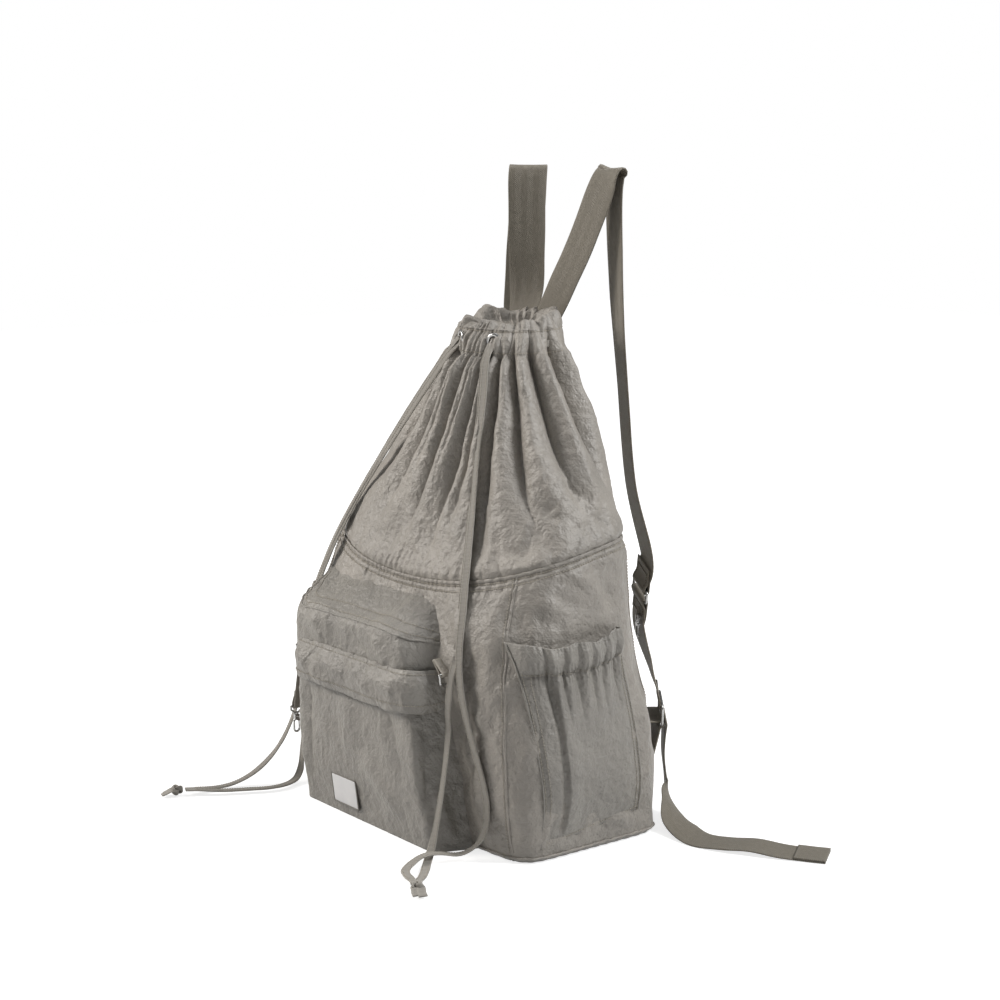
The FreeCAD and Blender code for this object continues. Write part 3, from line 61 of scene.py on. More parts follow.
# Form of the body, as in the frame but squarer at the foot: height, half width, front Y, back Y and
# squareness of the corners
BODY_LEVELS = np.array([
    (0.0, 191.0, -93.0, 92.0, 8.5),
    (20.0, 193.0, -95.0, 92.0, 8.0),
    (60.0, 203.0, -101.0, 89.0, 6.2),
    (120.0, 200.0, -106.0, 88.0, 4.9),
    (180.0, 189.0, -108.0, 85.0, 4.0),
    (240.0, 183.0, -88.0, 83.0, 3.4),
    (300.0, 172.0, -62.0, 83.0, 3.0),
    (350.0, 146.0, -40.0, 83.0, 2.6),
    (400.0, 109.0, -23.0, 84.0, 2.4),
    (440.0, 84.0, -9.0, 84.0, 2.2),
    (472.0, 67.0, 4.0, 83.0, 2.1),
    (505.0, 60.0, 8.0, 85.0, 2.0),
    (530.0, 58.0, 9.0, 86.0, 2.0),
])
AROUND = 560  # columns of cloth round the bag
YOKE_HEIGHT, YOKE_RADIUS, YOKE_BACK_RISE = 246.0, 700.0, 0.2
MOUTH_TILT = 0.06
CHANNEL_BOTTOM = 462.0


# ---------------------------------------------------------------- meshes from arrays


def mm_box(node):
    """Lowest and highest corner of a frame node, in millimetres."""
    low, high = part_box(node)
    return np.array(low) / MM, np.array(high) / MM


def unit(vectors):
    return vectors / np.maximum(np.linalg.norm(vectors, axis=-1, keepdims=True), 1e-9)


def quads(rows, cols, wrap_rows=False, wrap_cols=False):
    """Corner indices of the cells of a rows by cols grid; wrap joins the last line to the first."""
    r = np.arange(rows if wrap_rows else rows - 1)[:, None]
    c = np.arange(cols if wrap_cols else cols - 1)[None, :]
    right, below = (c + 1) % cols, (r + 1) % rows
    corners = [r * cols + c, r * cols + right, below * cols + right, below * cols + c]
    return np.stack(corners, axis=-1).reshape(-1, 4)


def signed_volume(points, faces):
    """Sum over the fan triangles of each face of a . (b x c) / 6; positive where the faces point outwards."""
    total = 0.0
    for k in range(1, faces.shape[1] - 1):
        a, b, c = points[faces[:, 0]], points[faces[:, k]], points[faces[:, k + 1]]
        total += float(np.einsum("ij,ij->", a, np.cross(b, c))) / 6
    return total


def new_object(name, data):
    """Object in the scene that shows a mesh, curve, light or camera."""
    made = bpy.data.objects.new(name, data)
    bpy.context.scene.collection.objects.link(made)
    return made


def build_mesh(name, points, faces, uv=None):
    """Object from points in millimetres and index arrays, its faces turned outwards; uv holds one pair per
    point."""
    points = np.asarray(points, dtype=float).reshape(-1, 3)
    blocks = [np.asarray(block) for block in faces]
    if sum(signed_volume(points, block) for block in blocks) < 0:
        blocks = [block[:, ::-1] for block in blocks]
    corners = np.concatenate([block.ravel() for block in blocks]).astype(np.int32)
    sizes = np.concatenate([np.full(len(block), block.shape[1]) for block in blocks]).astype(np.int32)
    mesh = bpy.data.meshes.new(name)
    mesh.vertices.add(len(points))
    mesh.vertices.foreach_set("co", (points * MM).astype(np.float32).ravel())
    mesh.loops.add(len(corners))
    mesh.loops.foreach_set("vertex_index", corners)
    mesh.polygons.add(len(sizes))
    mesh.polygons.foreach_set("loop_start", np.concatenate([[0], np.cumsum(sizes)[:-1]]).astype(np.int32))
    mesh.polygons.foreach_set("use_smooth", np.ones(len(sizes), dtype=bool))
    if uv is not None:
        layer = mesh.uv_layers.new(name="UVMap")
        layer.data.foreach_set("uv", np.asarray(uv, dtype=np.float32).reshape(-1, 2)[corners].ravel())
    mesh.update(calc_edges=True)
    mesh.validate()
    return new_object(name, mesh)


def grid_normals(grid, wrap_cols=False):
    """Unit normals of a grid: cross product of its differences along the columns and the rows."""
    if wrap_cols:
        across = np.roll(grid, -1, axis=1) - np.roll(grid, 1, axis=1)
    else:
        across = np.gradient(grid, axis=1)
    along = np.gradient(grid, axis=0)
    return unit(np.cross(across, along))


def shell(name, outer, thickness, wrap_cols=False, normals=None):
    """Closed cloth of even thickness: the outer grid, the same grid moved inwards along its normals, and its
    rims."""
    rows, cols = outer.shape[:2]
    if normals is None:
        normals = grid_normals(outer, wrap_cols)
    inner = outer - normals * thickness
    points = np.concatenate([outer, inner[::-1]], axis=0)
    faces = [quads(2 * rows, cols, wrap_rows=True, wrap_cols=wrap_cols)]
    if not wrap_cols:
        r = np.arange(rows - 1)
        for c, flip in ((0, 1), (cols - 1, -1)):
            a, b = r * cols + c, (r + 1) * cols + c
            d, e = (2 * rows - 1 - r) * cols + c, (2 * rows - 2 - r) * cols + c
            faces.append(np.stack([a, b, e, d], axis=-1)[:, ::flip])
    return build_mesh(name, points, faces)


def lined(name, outer, depth=6.0, step=6):
    """Closed wall round the bag: the outer grid, and a plain lining of every sixth row at a depth inside
    it."""
    rows, cols = outer.shape[:2]
    kept = np.unique(np.append(np.arange(0, rows, step), rows - 1))[::-1]
    lining = smoothed(outer, 4, 1.0, wrap_cols=True)[kept]
    lining = lining - grid_normals(outer, True)[kept] * depth
    points = np.concatenate([outer, lining], axis=0)
    return build_mesh(name, points, [quads(rows + len(kept), cols, wrap_rows=True, wrap_cols=True)])


def lengths_along(points):
    """Distance along a path at each of its points."""
    return np.concatenate([[0], np.cumsum(np.linalg.norm(np.diff(points, axis=0), axis=1))])


def closed_line(points):
    """The same line with its first point again at its end."""
    return np.concatenate([points, points[:1]])


def end_caps(rows, cols):
    """The two end faces of a tube: rows rings with cols points each."""
    ring = np.arange(cols)[None]
    return [ring[:, ::-1], ring + (rows - 1) * cols]


def smooth_path(points, per_span, closed=False):
    """Catmull-Rom curve through the points: cubic spans whose end slopes are half the chord between
    neighbours."""
    p = np.asarray(points, dtype=float)
    if closed:
        p = np.concatenate([p[-1:], p, p[:2]])
    else:
        p = np.concatenate([2 * p[:1] - p[1:2], p, 2 * p[-1:] - p[-2:-1]])
    t = (np.arange(per_span) / per_span)[None, :, None]
    a, b, c, d = (p[k:len(p) - 3 + k][:, None, :] for k in range(4))
    spans = 0.5 * (2 * b + (c - a) * t + (2 * a - 5 * b + 4 * c - d) * t**2 + (3 * b - a - 3 * c + d) * t**3)
    curve = spans.reshape(-1, p.shape[1])
    return curve if closed else np.concatenate([curve, p[-2:-1]])


def even_path(points, step):
    """The same path with points spaced evenly by arc length."""
    lengths = lengths_along(points[:, :3])
    count = max(2, int(round(lengths[-1] / step)) + 1)
    at = np.linspace(0, lengths[-1], count)
    return np.stack([np.interp(at, lengths, points[:, k]) for k in range(points.shape[1])], axis=1)


def path_frames(path, across, closed=False):
    """Unit tangents, and the across direction or directions made square to them; normal = across x
    tangent."""
    if closed:
        tangents = unit(np.roll(path, -1, axis=0) - np.roll(path, 1, axis=0))
    else:
        tangents = unit(np.gradient(path, axis=0))
    across = unit(across - tangents * np.sum(across * tangents, axis=1, keepdims=True))
    return tangents, across, unit(np.cross(across, tangents))


def sweep(name, path, across, section, closed=False, scale=None):
    """Closed solid: a section (across, normal offsets) carried along a path. uv is (across, along), in
    metres."""
    _, across, normals = path_frames(path, np.asarray(across, dtype=float), closed)
    section = np.asarray(section, dtype=float)
    sizes = np.ones((len(path), 2)) if scale is None else np.asarray(scale, dtype=float)
    a = section[None, :, 0, None] * sizes[:, None, 0, None]
    b = section[None, :, 1, None] * sizes[:, None, 1, None]
    points = path[:, None, :] + a * across[:, None, :] + b * normals[:, None, :]
    lengths = lengths_along(path)
    uv = np.stack(np.broadcast_arrays(section[None, :, 0] * MM, lengths[:, None] * MM), axis=-1)
    count = len(section)
    faces = [quads(len(path), count, wrap_rows=closed, wrap_cols=True)]
    if not closed:
        faces += end_caps(len(path), count)
    return build_mesh(name, points, faces, uv)


def round_section(radius, sides=14):
    angles = 2 * np.pi * np.arange(sides) / sides
    return np.stack([radius * np.cos(angles), radius * np.sin(angles)], axis=1)


def strip_section(width, thickness, steps=8):
    """Flat strip with rounded edges: two flat sides divided into steps, and half circles at both ends."""
    half, r = width / 2 - thickness / 2, thickness / 2
    flat = np.linspace(-half, half, steps + 1)
    angles = np.radians([60, 30, 0, -30, -60])
    right = np.stack([half + r * np.cos(angles), r * np.sin(angles)], axis=1)
    top = np.stack([flat, np.full(steps + 1, r)], axis=1)
    return np.concatenate([top, right, -top, -right])


def closed_wire(name, path, normal, radius, sides=14):
    """Round wire along a closed path that lies square to a normal."""
    return sweep(name, path, normal, round_section(radius, sides), closed=True)


def lathe(name, profile, centre, axis, steps=40):
    """Closed ring: a closed (radius, along) profile turned round an axis through centre."""
    axis = unit(np.asarray(axis, dtype=float))
    side = unit(np.cross(axis, [0.3, 0.5, 0.8]))
    other = np.cross(axis, side)
    angles = 2 * np.pi * np.arange(steps) / steps
    spokes = np.cos(angles)[:, None] * side + np.sin(angles)[:, None] * other
    profile = np.asarray(profile, dtype=float)
    outwards = profile[None, :, 0, None] * spokes[:, None, :]
    points = np.asarray(centre) + outwards + profile[None, :, 1, None] * axis
    return build_mesh(name, points, [quads(steps, len(profile), wrap_rows=True, wrap_cols=True)])


def joined(name, pieces):
    """One object out of several."""
    first = pieces[0]
    with bpy.context.temp_override(active_object=first, selected_editable_objects=pieces):
        bpy.ops.object.join()
    first.name = name
    first.data.name = name
    return first


def stitches(name, path, outward, pitch=3.0, length=2.2, radius=0.33):
    """Row of thread stitches on a path: each a six-sided spindle that dips into the cloth at both ends."""
    path = even_path(np.concatenate([path, outward], axis=1), pitch)
    outward, path = unit(path[:, 3:]), path[:, :3]
    tangents, across, normals = path_frames(path, np.cross(outward, np.gradient(path, axis=0)))
    normals = np.where(np.sum(normals * outward, axis=1, keepdims=True) < 0, -normals, normals)
    along = np.array([-0.5, -0.3, 0.3, 0.5]) * length
    swell, lift = np.array([0.35, 1.0, 1.0, 0.35]) * radius, np.array([-0.5, 0.55, 0.55, -0.5]) * radius
    angles = 2 * np.pi * np.arange(6) / 6
    ring_a, ring_n = np.cos(angles), np.sin(angles)
    place = path[:, None, None, :] + tangents[:, None, None, :] * along[None, :, None, None]
    place = place + across[:, None, None, :] * (swell[:, None] * ring_a)[None, :, :, None]
    place = place + normals[:, None, None, :] * (lift[:, None] + swell[:, None] * ring_n)[None, :, :, None]
    one = quads(4, 6, wrap_cols=True)
    starts = (np.arange(len(path)) * 24)[:, None, None]  # four rings of six points each
    caps = np.stack([np.arange(6)[::-1], np.arange(6) + 18])
    faces = [(one[None] + starts).reshape(-1, 4), (caps[None] + starts).reshape(-1, 6)]
    return build_mesh(name, place.reshape(-1, 3), faces)


# ---------------------------------------------------------------- fields on the cloth

LATTICE_SIZE = 40
LATTICE = np.random.default_rng(11).uniform(-1, 1, (LATTICE_SIZE,) * 3)


def smoothstep(t):
    return t * t * (3 - 2 * t)


def noise(points, size, seed=0):
    """Smooth random field, about -1 to 1, features `size` across: lattice values blended with smoothstep
    weights."""
    q = points / size + np.array([3.1, 7.7, 5.3]) * (seed + 1)
    base = np.floor(q).astype(int)
    f = smoothstep(q - base)
    total = np.zeros(q.shape[:-1])
    for corner in range(8):
        bits = np.array([corner & 1, corner >> 1 & 1, corner >> 2 & 1])
        index = (base + bits) % LATTICE_SIZE
        weight = np.prod(np.where(bits == 1, f, 1 - f), axis=-1)
        total += weight * LATTICE[index[..., 0], index[..., 1], index[..., 2]]
    return total


def crumple(points, size, depth, seed=0):
    """Creased cloth: soft hollows between sharp ridges, 1 - |noise| of two warped fields."""
    warp = np.stack([noise(points, size * 1.7, seed + k) for k in (5, 6, 7)], axis=-1) * size * 0.45
    first = 1 - np.abs(noise(points + warp, size, seed + 1)) * 2
    second = 1 - np.abs(noise(points * 1.3 - warp, size * 0.55, seed + 2)) * 2
    return depth * (0.62 * first + 0.38 * second)


def folds(points, lines):
    """Sum of ridges (height > 0) and valleys (height < 0) along straight lines given as start, end, width,
    height. A ridge is round, exp(-(distance / width)^2); a valley is a crease, exp(-1.3 distance / width).
    Both fade out over the last third of the line at both ends."""
    total = np.zeros(points.shape[:-1])
    for start, end, width, height in lines:
        start, end = np.asarray(start, dtype=float), np.asarray(end, dtype=float)
        way = end - start
        share = np.sum((points - start) * way, axis=-1) / np.dot(way, way)
        nearest = start + np.clip(share, 0, 1)[..., None] * way
        distance = np.linalg.norm(points - nearest, axis=-1)
        fade = np.clip(np.minimum(share + 0.12, 1.12 - share) / 0.34, 0, 1)
        form = np.exp(-((distance / width) ** 2)) if height > 0 else np.exp(-1.3 * distance / width)
        total += height * form * fade * fade * (3 - 2 * fade)
    return total


def ramp(values, low, high):
    """0 below low, 1 above high, smoothstep between."""
    return smoothstep(np.clip((values - low) / (high - low), 0, 1))


def smoothed(grid, times, weight=1.0, wrap_cols=False):
    """Relaxes a grid: each point moves towards the mean of its four neighbours, as often as asked."""
    for _ in range(times):
        padded = np.pad(grid, ((1, 1), (0, 0), (0, 0)), mode="edge")
        if wrap_cols:
            sides = np.roll(grid, 1, axis=1) + np.roll(grid, -1, axis=1)
        else:
            wide = np.pad(grid, ((0, 0), (1, 1), (0, 0)), mode="edge")
            sides = wide[:, :-2] + wide[:, 2:]
        mean = (padded[:-2] + padded[2:] + sides) / 4
        grid = grid + (mean - grid) * weight
    return grid


# ---------------------------------------------------------------- form of the body


def level_values(z):
    """Half width, front Y, back Y and squareness at heights z: cubic interpolation with Catmull-Rom
    slopes."""
    heights, values = BODY_LEVELS[:, 0], BODY_LEVELS[:, 1:]
    slopes = np.gradient(values, heights, axis=0)
    z = np.clip(z, heights[0], heights[-1])
    k = np.clip(np.searchsorted(heights, z, side="right") - 1, 0, len(heights) - 2)
    span = heights[k + 1] - heights[k]
    t = ((z - heights[k]) / span)[..., None]
    span = span[..., None]
    start, end, from_slope, to_slope = values[k], values[k + 1], slopes[k] * span, slopes[k + 1] * span
    cubic = (2 * t**3 - 3 * t**2 + 1) * start + (t**3 - 2 * t**2 + t) * from_slope
    cubic = cubic + (3 * t**2 - 2 * t**3) * end + (t**3 - t**2) * to_slope
    return np.moveaxis(cubic, -1, 0)


def body_points(angles, z, grow=0.0):
    """Superelliptic section: in the direction of each angle, r = (|cos/a|^n + |sin/b|^n)^(-1/n)."""
    angles, z = np.broadcast_arrays(angles, z)
    half_width, front, back, square = level_values(z)
    a, b = half_width + grow, (back - front) / 2 + grow
    cos, sin = np.cos(angles), np.sin(angles)
    r = (np.abs(cos / a) ** square + np.abs(sin / b) ** square) ** (-1 / square)
    return np.stack([r * cos, (front + back) / 2 + r * sin, z], axis=-1)


def even_angles(count, z=200.0):
    """Angles from the middle of the back once round, evenly spaced along the section at a height."""
    dense = np.linspace(np.pi / 2, np.pi * 5 / 2, 4001)
    ring = body_points(dense, np.full(dense.shape, z))
    lengths = lengths_along(ring)
    return np.interp(np.arange(count) / count * lengths[-1], lengths, dense)


ANGLES = even_angles(AROUND)


def yoke_height(points):
    """Height of the yoke seam: an arc that rises to both sides and a slope that rises to the back."""
    rise = YOKE_BACK_RISE * np.maximum(points[..., 1] + 88.0, 0)
    return YOKE_HEIGHT + points[..., 0] ** 2 / (2 * YOKE_RADIUS) + rise


def seam_height():
    """Height of the yoke seam at each of the columns round the bag, found by repeated steps."""
    z = np.full(AROUND, 255.0)
    for _ in range(4):
        z = yoke_height(body_points(ANGLES, z))
    return yoke_height(body_points(ANGLES, z))


def fold_scale():
    """Millimetres of fold for each millimetre that the folds are drawn with."""
    return bpy.context.scene.bag_look.fold_depth / MM


# ---------------------------------------------------------------- materials


def linear(code):
    """sRGB hex colour as linear RGBA."""
    values = np.array([int(code[k:k + 2], 16) / 255 for k in (1, 3, 5)])
    values = np.where(values <= 0.04045, values / 12.92, ((values + 0.055) / 1.055) ** 2.4)
    return (*[float(value) for value in values], 1.0)


def add(tree, kind, sockets=None, **attributes):
    """Adds a node. A socket is given a value, another node's output, or a node, which stands for its first
    output."""
    node = tree.nodes.new("ShaderNode" + kind)
    for name, value in attributes.items():
        setattr(node, name, value)
    for socket, value in (sockets or {}).items():
        if isinstance(value, bpy.types.Node):
            value = value.outputs[0]
        if isinstance(value, bpy.types.NodeSocket):
            tree.links.new(value, node.inputs[socket])
        else:
            node.inputs[socket].default_value = value
    return node


def start(name, shader):
    """New material with its surface shader; returns its tree, the shader and the texture coordinates."""
    material = bpy.data.materials.new(name)
    material.use_nodes = True
    tree = material.node_tree
    tree.nodes.clear()
    surface = add(tree, "BsdfPrincipled", shader)
    add(tree, "OutputMaterial", {"Surface": surface})
    return tree, surface, add(tree, "TexCoord").outputs


def coat(surface, low, high, tone, height, strength, deep_mm, **under):
    """Bump from a height, over another bump if there is one, and a colour that runs between two with a
    tone."""
    tree = surface.id_data
    bump = add(tree, "Bump", {"Strength": strength, "Distance": deep_mm * MM, "Height": height, **under})
    tree.links.new(bump.outputs[0], surface.inputs["Normal"])
    blend = add(tree, "Mix", {0: tone, 6: linear(low), 7: linear(high)}, data_type="RGBA")
    tree.links.new(blend.outputs[2], surface.inputs["Base Color"])


def crinkled_nylon(name, low, high, crease_mm=5.5):
    """Garment-washed nylon taffeta: thin yarns with a soft satin lustre, crinkled all over by the wash.
    The 0.2 mm yarns are drawn 1.1 mm apart so that they show. Creases of a few millimetres bend the light."""
    tree, surface, coords = start(name, {
        "Roughness": 0.47, "Specular IOR Level": 0.6, "Sheen Weight": 0.15, "Sheen Roughness": 0.4,
        "Sheen Tint": linear("#d8d2c6"),
    })
    place, crease_size = coords["Object"], crease_mm * MM
    bend = add(tree, "TexNoise", {"Scale": 70.0, "Detail": 3.0, "Vector": place})
    shift = add(tree, "VectorMath", {0: bend.outputs["Color"], 1: (0.5, 0.5, 0.5)}, operation="SUBTRACT")
    near = add(tree, "VectorMath", {0: shift, "Scale": crease_size * 1.1}, operation="SCALE")
    moved = add(tree, "VectorMath", {0: place, 1: near}, operation="ADD")
    crease, fine = (
        add(tree, "TexVoronoi", {"Scale": scale / crease_size, "Vector": moved}, feature="SMOOTH_F1")
        for scale in (1, 2.3)
    )
    soft = add(
        tree, "TexNoise", {"Scale": 0.55 / crease_size, "Detail": 6.0, "Roughness": 0.62, "Vector": moved}
    )
    yarns = {"Scale": 1 / (2 * np.pi * 1.1 * MM) * 1.05, "Distortion": 0.6, "Vector": place}
    weft, warp = (
        add(tree, "TexWave", yarns, bands_direction=way).outputs["Fac"] for way in ("Z", "DIAGONAL")
    )
    weave = add(tree, "Math", {0: weft, 1: warp}, operation="MULTIPLY")
    height = add(tree, "Math", {0: fine, 1: 0.45, 2: crease}, operation="MULTIPLY_ADD")
    height = add(tree, "Math", {0: soft, 1: 1.6, 2: height}, operation="MULTIPLY_ADD")
    coarse = add(tree, "Bump", {"Strength": 0.8, "Distance": 1.5 * MM, "Height": height})
    patch = add(tree, "TexNoise", {"Scale": 16.0, "Detail": 7.0, "Roughness": 0.65, "Vector": moved})
    tone = add(tree, "MapRange", {"From Min": 0.2, "From Max": 0.8, "Value": patch})
    coat(surface, low, high, tone, weave, 0.3, 0.25, Normal=coarse)


def twill_webbing(name, low, high):
    """Polypropylene webbing woven in a herringbone twill: slanting ribs between two firm selvedges, dull
    lustre. Ribs of 1.2 mm are drawn 1.9 mm apart so that they show. UV runs across and along the strap in
    metres."""
    tree, surface, coords = start(name, {"Roughness": 0.62, "Sheen Weight": 0.15})
    split = add(tree, "SeparateXYZ", {0: coords["UV"]}).outputs
    turn = add(tree, "Math", {0: split["X"], 1: 6.0 * MM}, operation="PINGPONG")
    slant = add(tree, "Math", {0: turn, 1: 1.1, 2: split["Y"]}, operation="MULTIPLY_ADD")
    rib, yarn = (
        add(tree, "Math", {0: add(tree, "Math", {0: way, 1: 2 * np.pi / (pitch * MM)}, operation="MULTIPLY")},
            operation="SINE")
        for way, pitch in ((slant, 1.9), (split["X"], 1.3))
    )
    height = add(tree, "Math", {0: yarn, 1: 0.35, 2: rib}, operation="MULTIPLY_ADD")
    dust = add(tree, "TexNoise", {"Scale": 260.0, "Detail": 4.0, "Vector": coords["Object"]})
    # painted shade: the colour is lighter on the raised ribs and darker in the grooves between them, times a
    # random dusty tone
    rib_painted_light = add(tree, "MapRange", {"From Min": -1.3, "From Max": 1.3, "Value": height})
    tone = add(tree, "Math", {0: rib_painted_light, 1: dust}, operation="MULTIPLY")
    coat(surface, low, high, tone, height, 0.5, 0.3)


def flat_cord(name, low, high):
    """Flat drawcord folded from the bag's own cloth and stitched down its middle: matt, slightly paler at the
    folds."""
    tree, surface, coords = start(name, {"Roughness": 0.7, "Sheen Weight": 0.25})
    split = add(tree, "SeparateXYZ", {0: coords["UV"]}).outputs
    side = add(tree, "Math", {0: split["X"]}, operation="ABSOLUTE")
    edge = add(tree, "MapRange", {"From Min": 1.6 * MM, "From Max": 4.2 * MM, "Value": side})
    beat = add(tree, "Math", {0: split["Y"], 1: 2 * np.pi / (4.2 * MM)}, operation="MULTIPLY")
    pinch = add(tree, "Math", {0: beat}, operation="SINE")
    grain = add(
        tree, "TexNoise", {"Scale": 420.0, "Detail": 5.0, "Roughness": 0.7, "Vector": coords["Object"]}
    )
    height = add(tree, "Math", {0: pinch, 1: 0.3, 2: grain}, operation="MULTIPLY_ADD")
    tone = add(tree, "Math", {0: edge, 1: grain}, operation="MULTIPLY")
    coat(surface, low, high, tone, height, 0.55, 0.4)


def plated_metal(name, low, high, roughness):
    """Die-cast zinc with a nickel plate, tumbled: bright metal with faint rubbing marks."""
    tree, surface, coords = start(name, {"Metallic": 1.0, "Roughness": roughness})
    marks = add(
        tree, "TexNoise", {"Scale": 900.0, "Detail": 6.0, "Roughness": 0.7, "Vector": coords["Object"]}
    )
    cloud = add(tree, "TexNoise", {"Scale": 120.0, "Detail": 3.0, "Vector": coords["Object"]})
    coat(surface, low, high, cloud, marks, 0.08, 0.1)
    rough = add(tree, "MapRange", {"To Min": roughness - 0.08, "To Max": roughness + 0.12, "Value": marks})
    tree.links.new(rough.outputs[0], surface.inputs["Roughness"])


def moulded(name, low, high, roughness, grain_mm=0.6):
    """Flexible vinyl or nylon sheet: even colour with a fine moulded grain."""
    tree, surface, coords = start(name, {"Roughness": roughness})
    grain = add(tree, "TexNoise", {"Scale": 1 / (grain_mm * MM), "Detail": 3.0, "Vector": coords["Object"]})
    cloud = add(tree, "TexNoise", {"Scale": 40.0, "Detail": 4.0, "Vector": coords["Object"]})
    coat(surface, low, high, cloud, grain, 0.12, 0.1)


def thread(name, low, high):
    """Spun polyester sewing thread: matt, with two plies."""
    tree, surface, coords = start(name, {"Roughness": 0.75, "Sheen Weight": 0.2})
    ply = add(tree, "TexNoise", {"Scale": 1500.0, "Detail": 2.0, "Vector": coords["Object"]})
    coat(surface, low, high, ply, ply, 0.3, 0.1)


# Each finish: usual slot, maker, name of the material, darker and lighter tone (a setting of the panel or a
# hex colour), and further settings of the maker
FINISHES = {
    "cloth": ("shell_cloth", crinkled_nylon, "crinkled nylon taffeta", "cloth_dark", "cloth_light"),
    "pocket cloth": (
        "shell_cloth", crinkled_nylon, "crinkled nylon taffeta, pocket", "pocket_dark", "pocket_light"
    ),
    "tab cloth": ("shell_cloth", crinkled_nylon, "crinkled nylon taffeta, tab", "#a39c91", "#bdb6ab", 6.0),
    "webbing": ("webbing", twill_webbing, "polypropylene twill webbing", "webbing_dark", "webbing_light"),
    "cord": ("cord_tape", flat_cord, "folded nylon drawcord", "cord_dark", "cord_light"),
    "metal": ("hardware_metal", plated_metal, "nickel-plated zinc", "metal_dark", "metal_light", 0.26),
    "zip tape": (None, moulded, "polyester zip tape", "#4b463d", "#5a554b", 0.8, 1.0),
    "plate": ("label_plate", moulded, "white vinyl plate", "plate", "#f2f2f1", 0.45),
    "frame": ("label_frame", moulded, "grey moulded label rim", "#6d6a64", "#7c7973", 0.55),
    "thread": ("shell_cloth", thread, "polyester thread", "thread", "#a79f90"),
    "strap thread": ("webbing", thread, "strap thread", "#4f493e", "#6b6455"),
}


@functools.cache
def finish(look):
    """One of the bag's materials, made once from the colours in the panel."""
    _, maker, name, low, high, *others = FINISHES[look]
    settings = bpy.context.scene.bag_look
    maker(name, getattr(settings, low, low), getattr(settings, high, high), *others)
    return bpy.data.materials[name]


def paint(piece, look):
    piece.data.materials.clear()
    piece.data.materials.append(finish(look))


def dress(piece, look, nodes=(), body="bag"):
    """Gives a piece its finish and body, and hides the frame nodes that it stands for."""
    paint(piece, look)
    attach(piece, body)
    if nodes:
        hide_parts(*nodes)
    return piece


def sew(name, path, outward, off=0.25, slot="shell_cloth", **size):
    """Row of stitches that stands off a path in the cloth."""
    return dress(stitches(name, path + outward * off, outward, **size), "thread")


# ---------------------------------------------------------------- bag body


def cloth_normals(angles, z):
    """Outward normals of the body's form from small steps along the angle and the height."""
    step = 0.004
    around = body_points(angles + step, z) - body_points(angles - step, z)
    up = body_points(angles, z + 2.0) - body_points(angles, z - 2.0)
    return unit(np.cross(around, up))


# Folds of the lower cloth, in millimetres: start, end, width, height (a valley is negative)
LOWER_FOLDS = [
    ((176, -66, 262), (186, -14, 234), 7, -3.4), ((180, -30, 276), (187, 16, 238), 8, 3.2),
    ((184, 6, 282), (187, 30, 226), 7, -3.4), ((186, 40, 288), (187, 52, 240), 7, 3.0),
    ((170, -80, 236), (186, -40, 222), 6, -2.8), ((-176, -66, 262), (-186, -14, 234), 7, -3.4),
    ((-184, 6, 282), (-187, 30, 226), 7, -3.4), ((100, -100, 200), (146, -98, 176), 8, -2.6),
    ((108, -104, 150), (150, -98, 128), 9, 2.8), ((140, -100, 96), (112, -106, 60), 8, -2.8),
    ((-60, 86, 200), (-100, 86, 150), 12, -2.6), ((30, 86, 220), (-20, 88, 150), 14, 2.6),
    ((132, -95, 240), (162, -88, 205), 9, 4.0), ((140, -93, 246), (150, -93, 150), 12, 3.0),
    ((118, -104, 246), (128, -108, 90), 10, -3.0), ((150, -90, 190), (158, -92, 60), 13, -3.2),
    ((100, -95, 240), (112, -108, 180), 9, 2.6), ((124, -100, 120), (150, -98, 12), 12, 2.8),
    ((165, -70, 262), (188, -40, 236), 10, 3.0), ((185, -30, 262), (186, 30, 240), 11, -2.6),
    ((188, 30, 285), (200, 44, 160), 9, -3.4), ((192, 52, 240), (206, 60, 60), 11, 3.4),
    ((170, 66, 285), (186, 70, 150), 12, -3.0), ((176, -80, 40), (150, -92, 8), 12, -2.6),
    ((196, 10, 30), (200, 60, 14), 9, 2.4), ((-150, -90, 240), (-165, -96, 120), 11, -3.2),
    ((-130, -92, 240), (-150, -98, 170), 10, 3.0), ((-185, -40, 255), (-196, -60, 100), 13, 3.2),
    ((-192, 30, 270), (-200, 40, 90), 12, -3.0), ((-170, 70, 270), (-180, 76, 90), 12, 3.0),
    ((-80, 84, 262), (-60, 88, 60), 18, -3.0), ((60, 84, 262), (90, 88, 90), 16, -2.6),
    ((0, 85, 262), (10, 88, 40), 20, 2.4), ((120, 84, 200), (150, 82, 60), 14, 2.6),
]

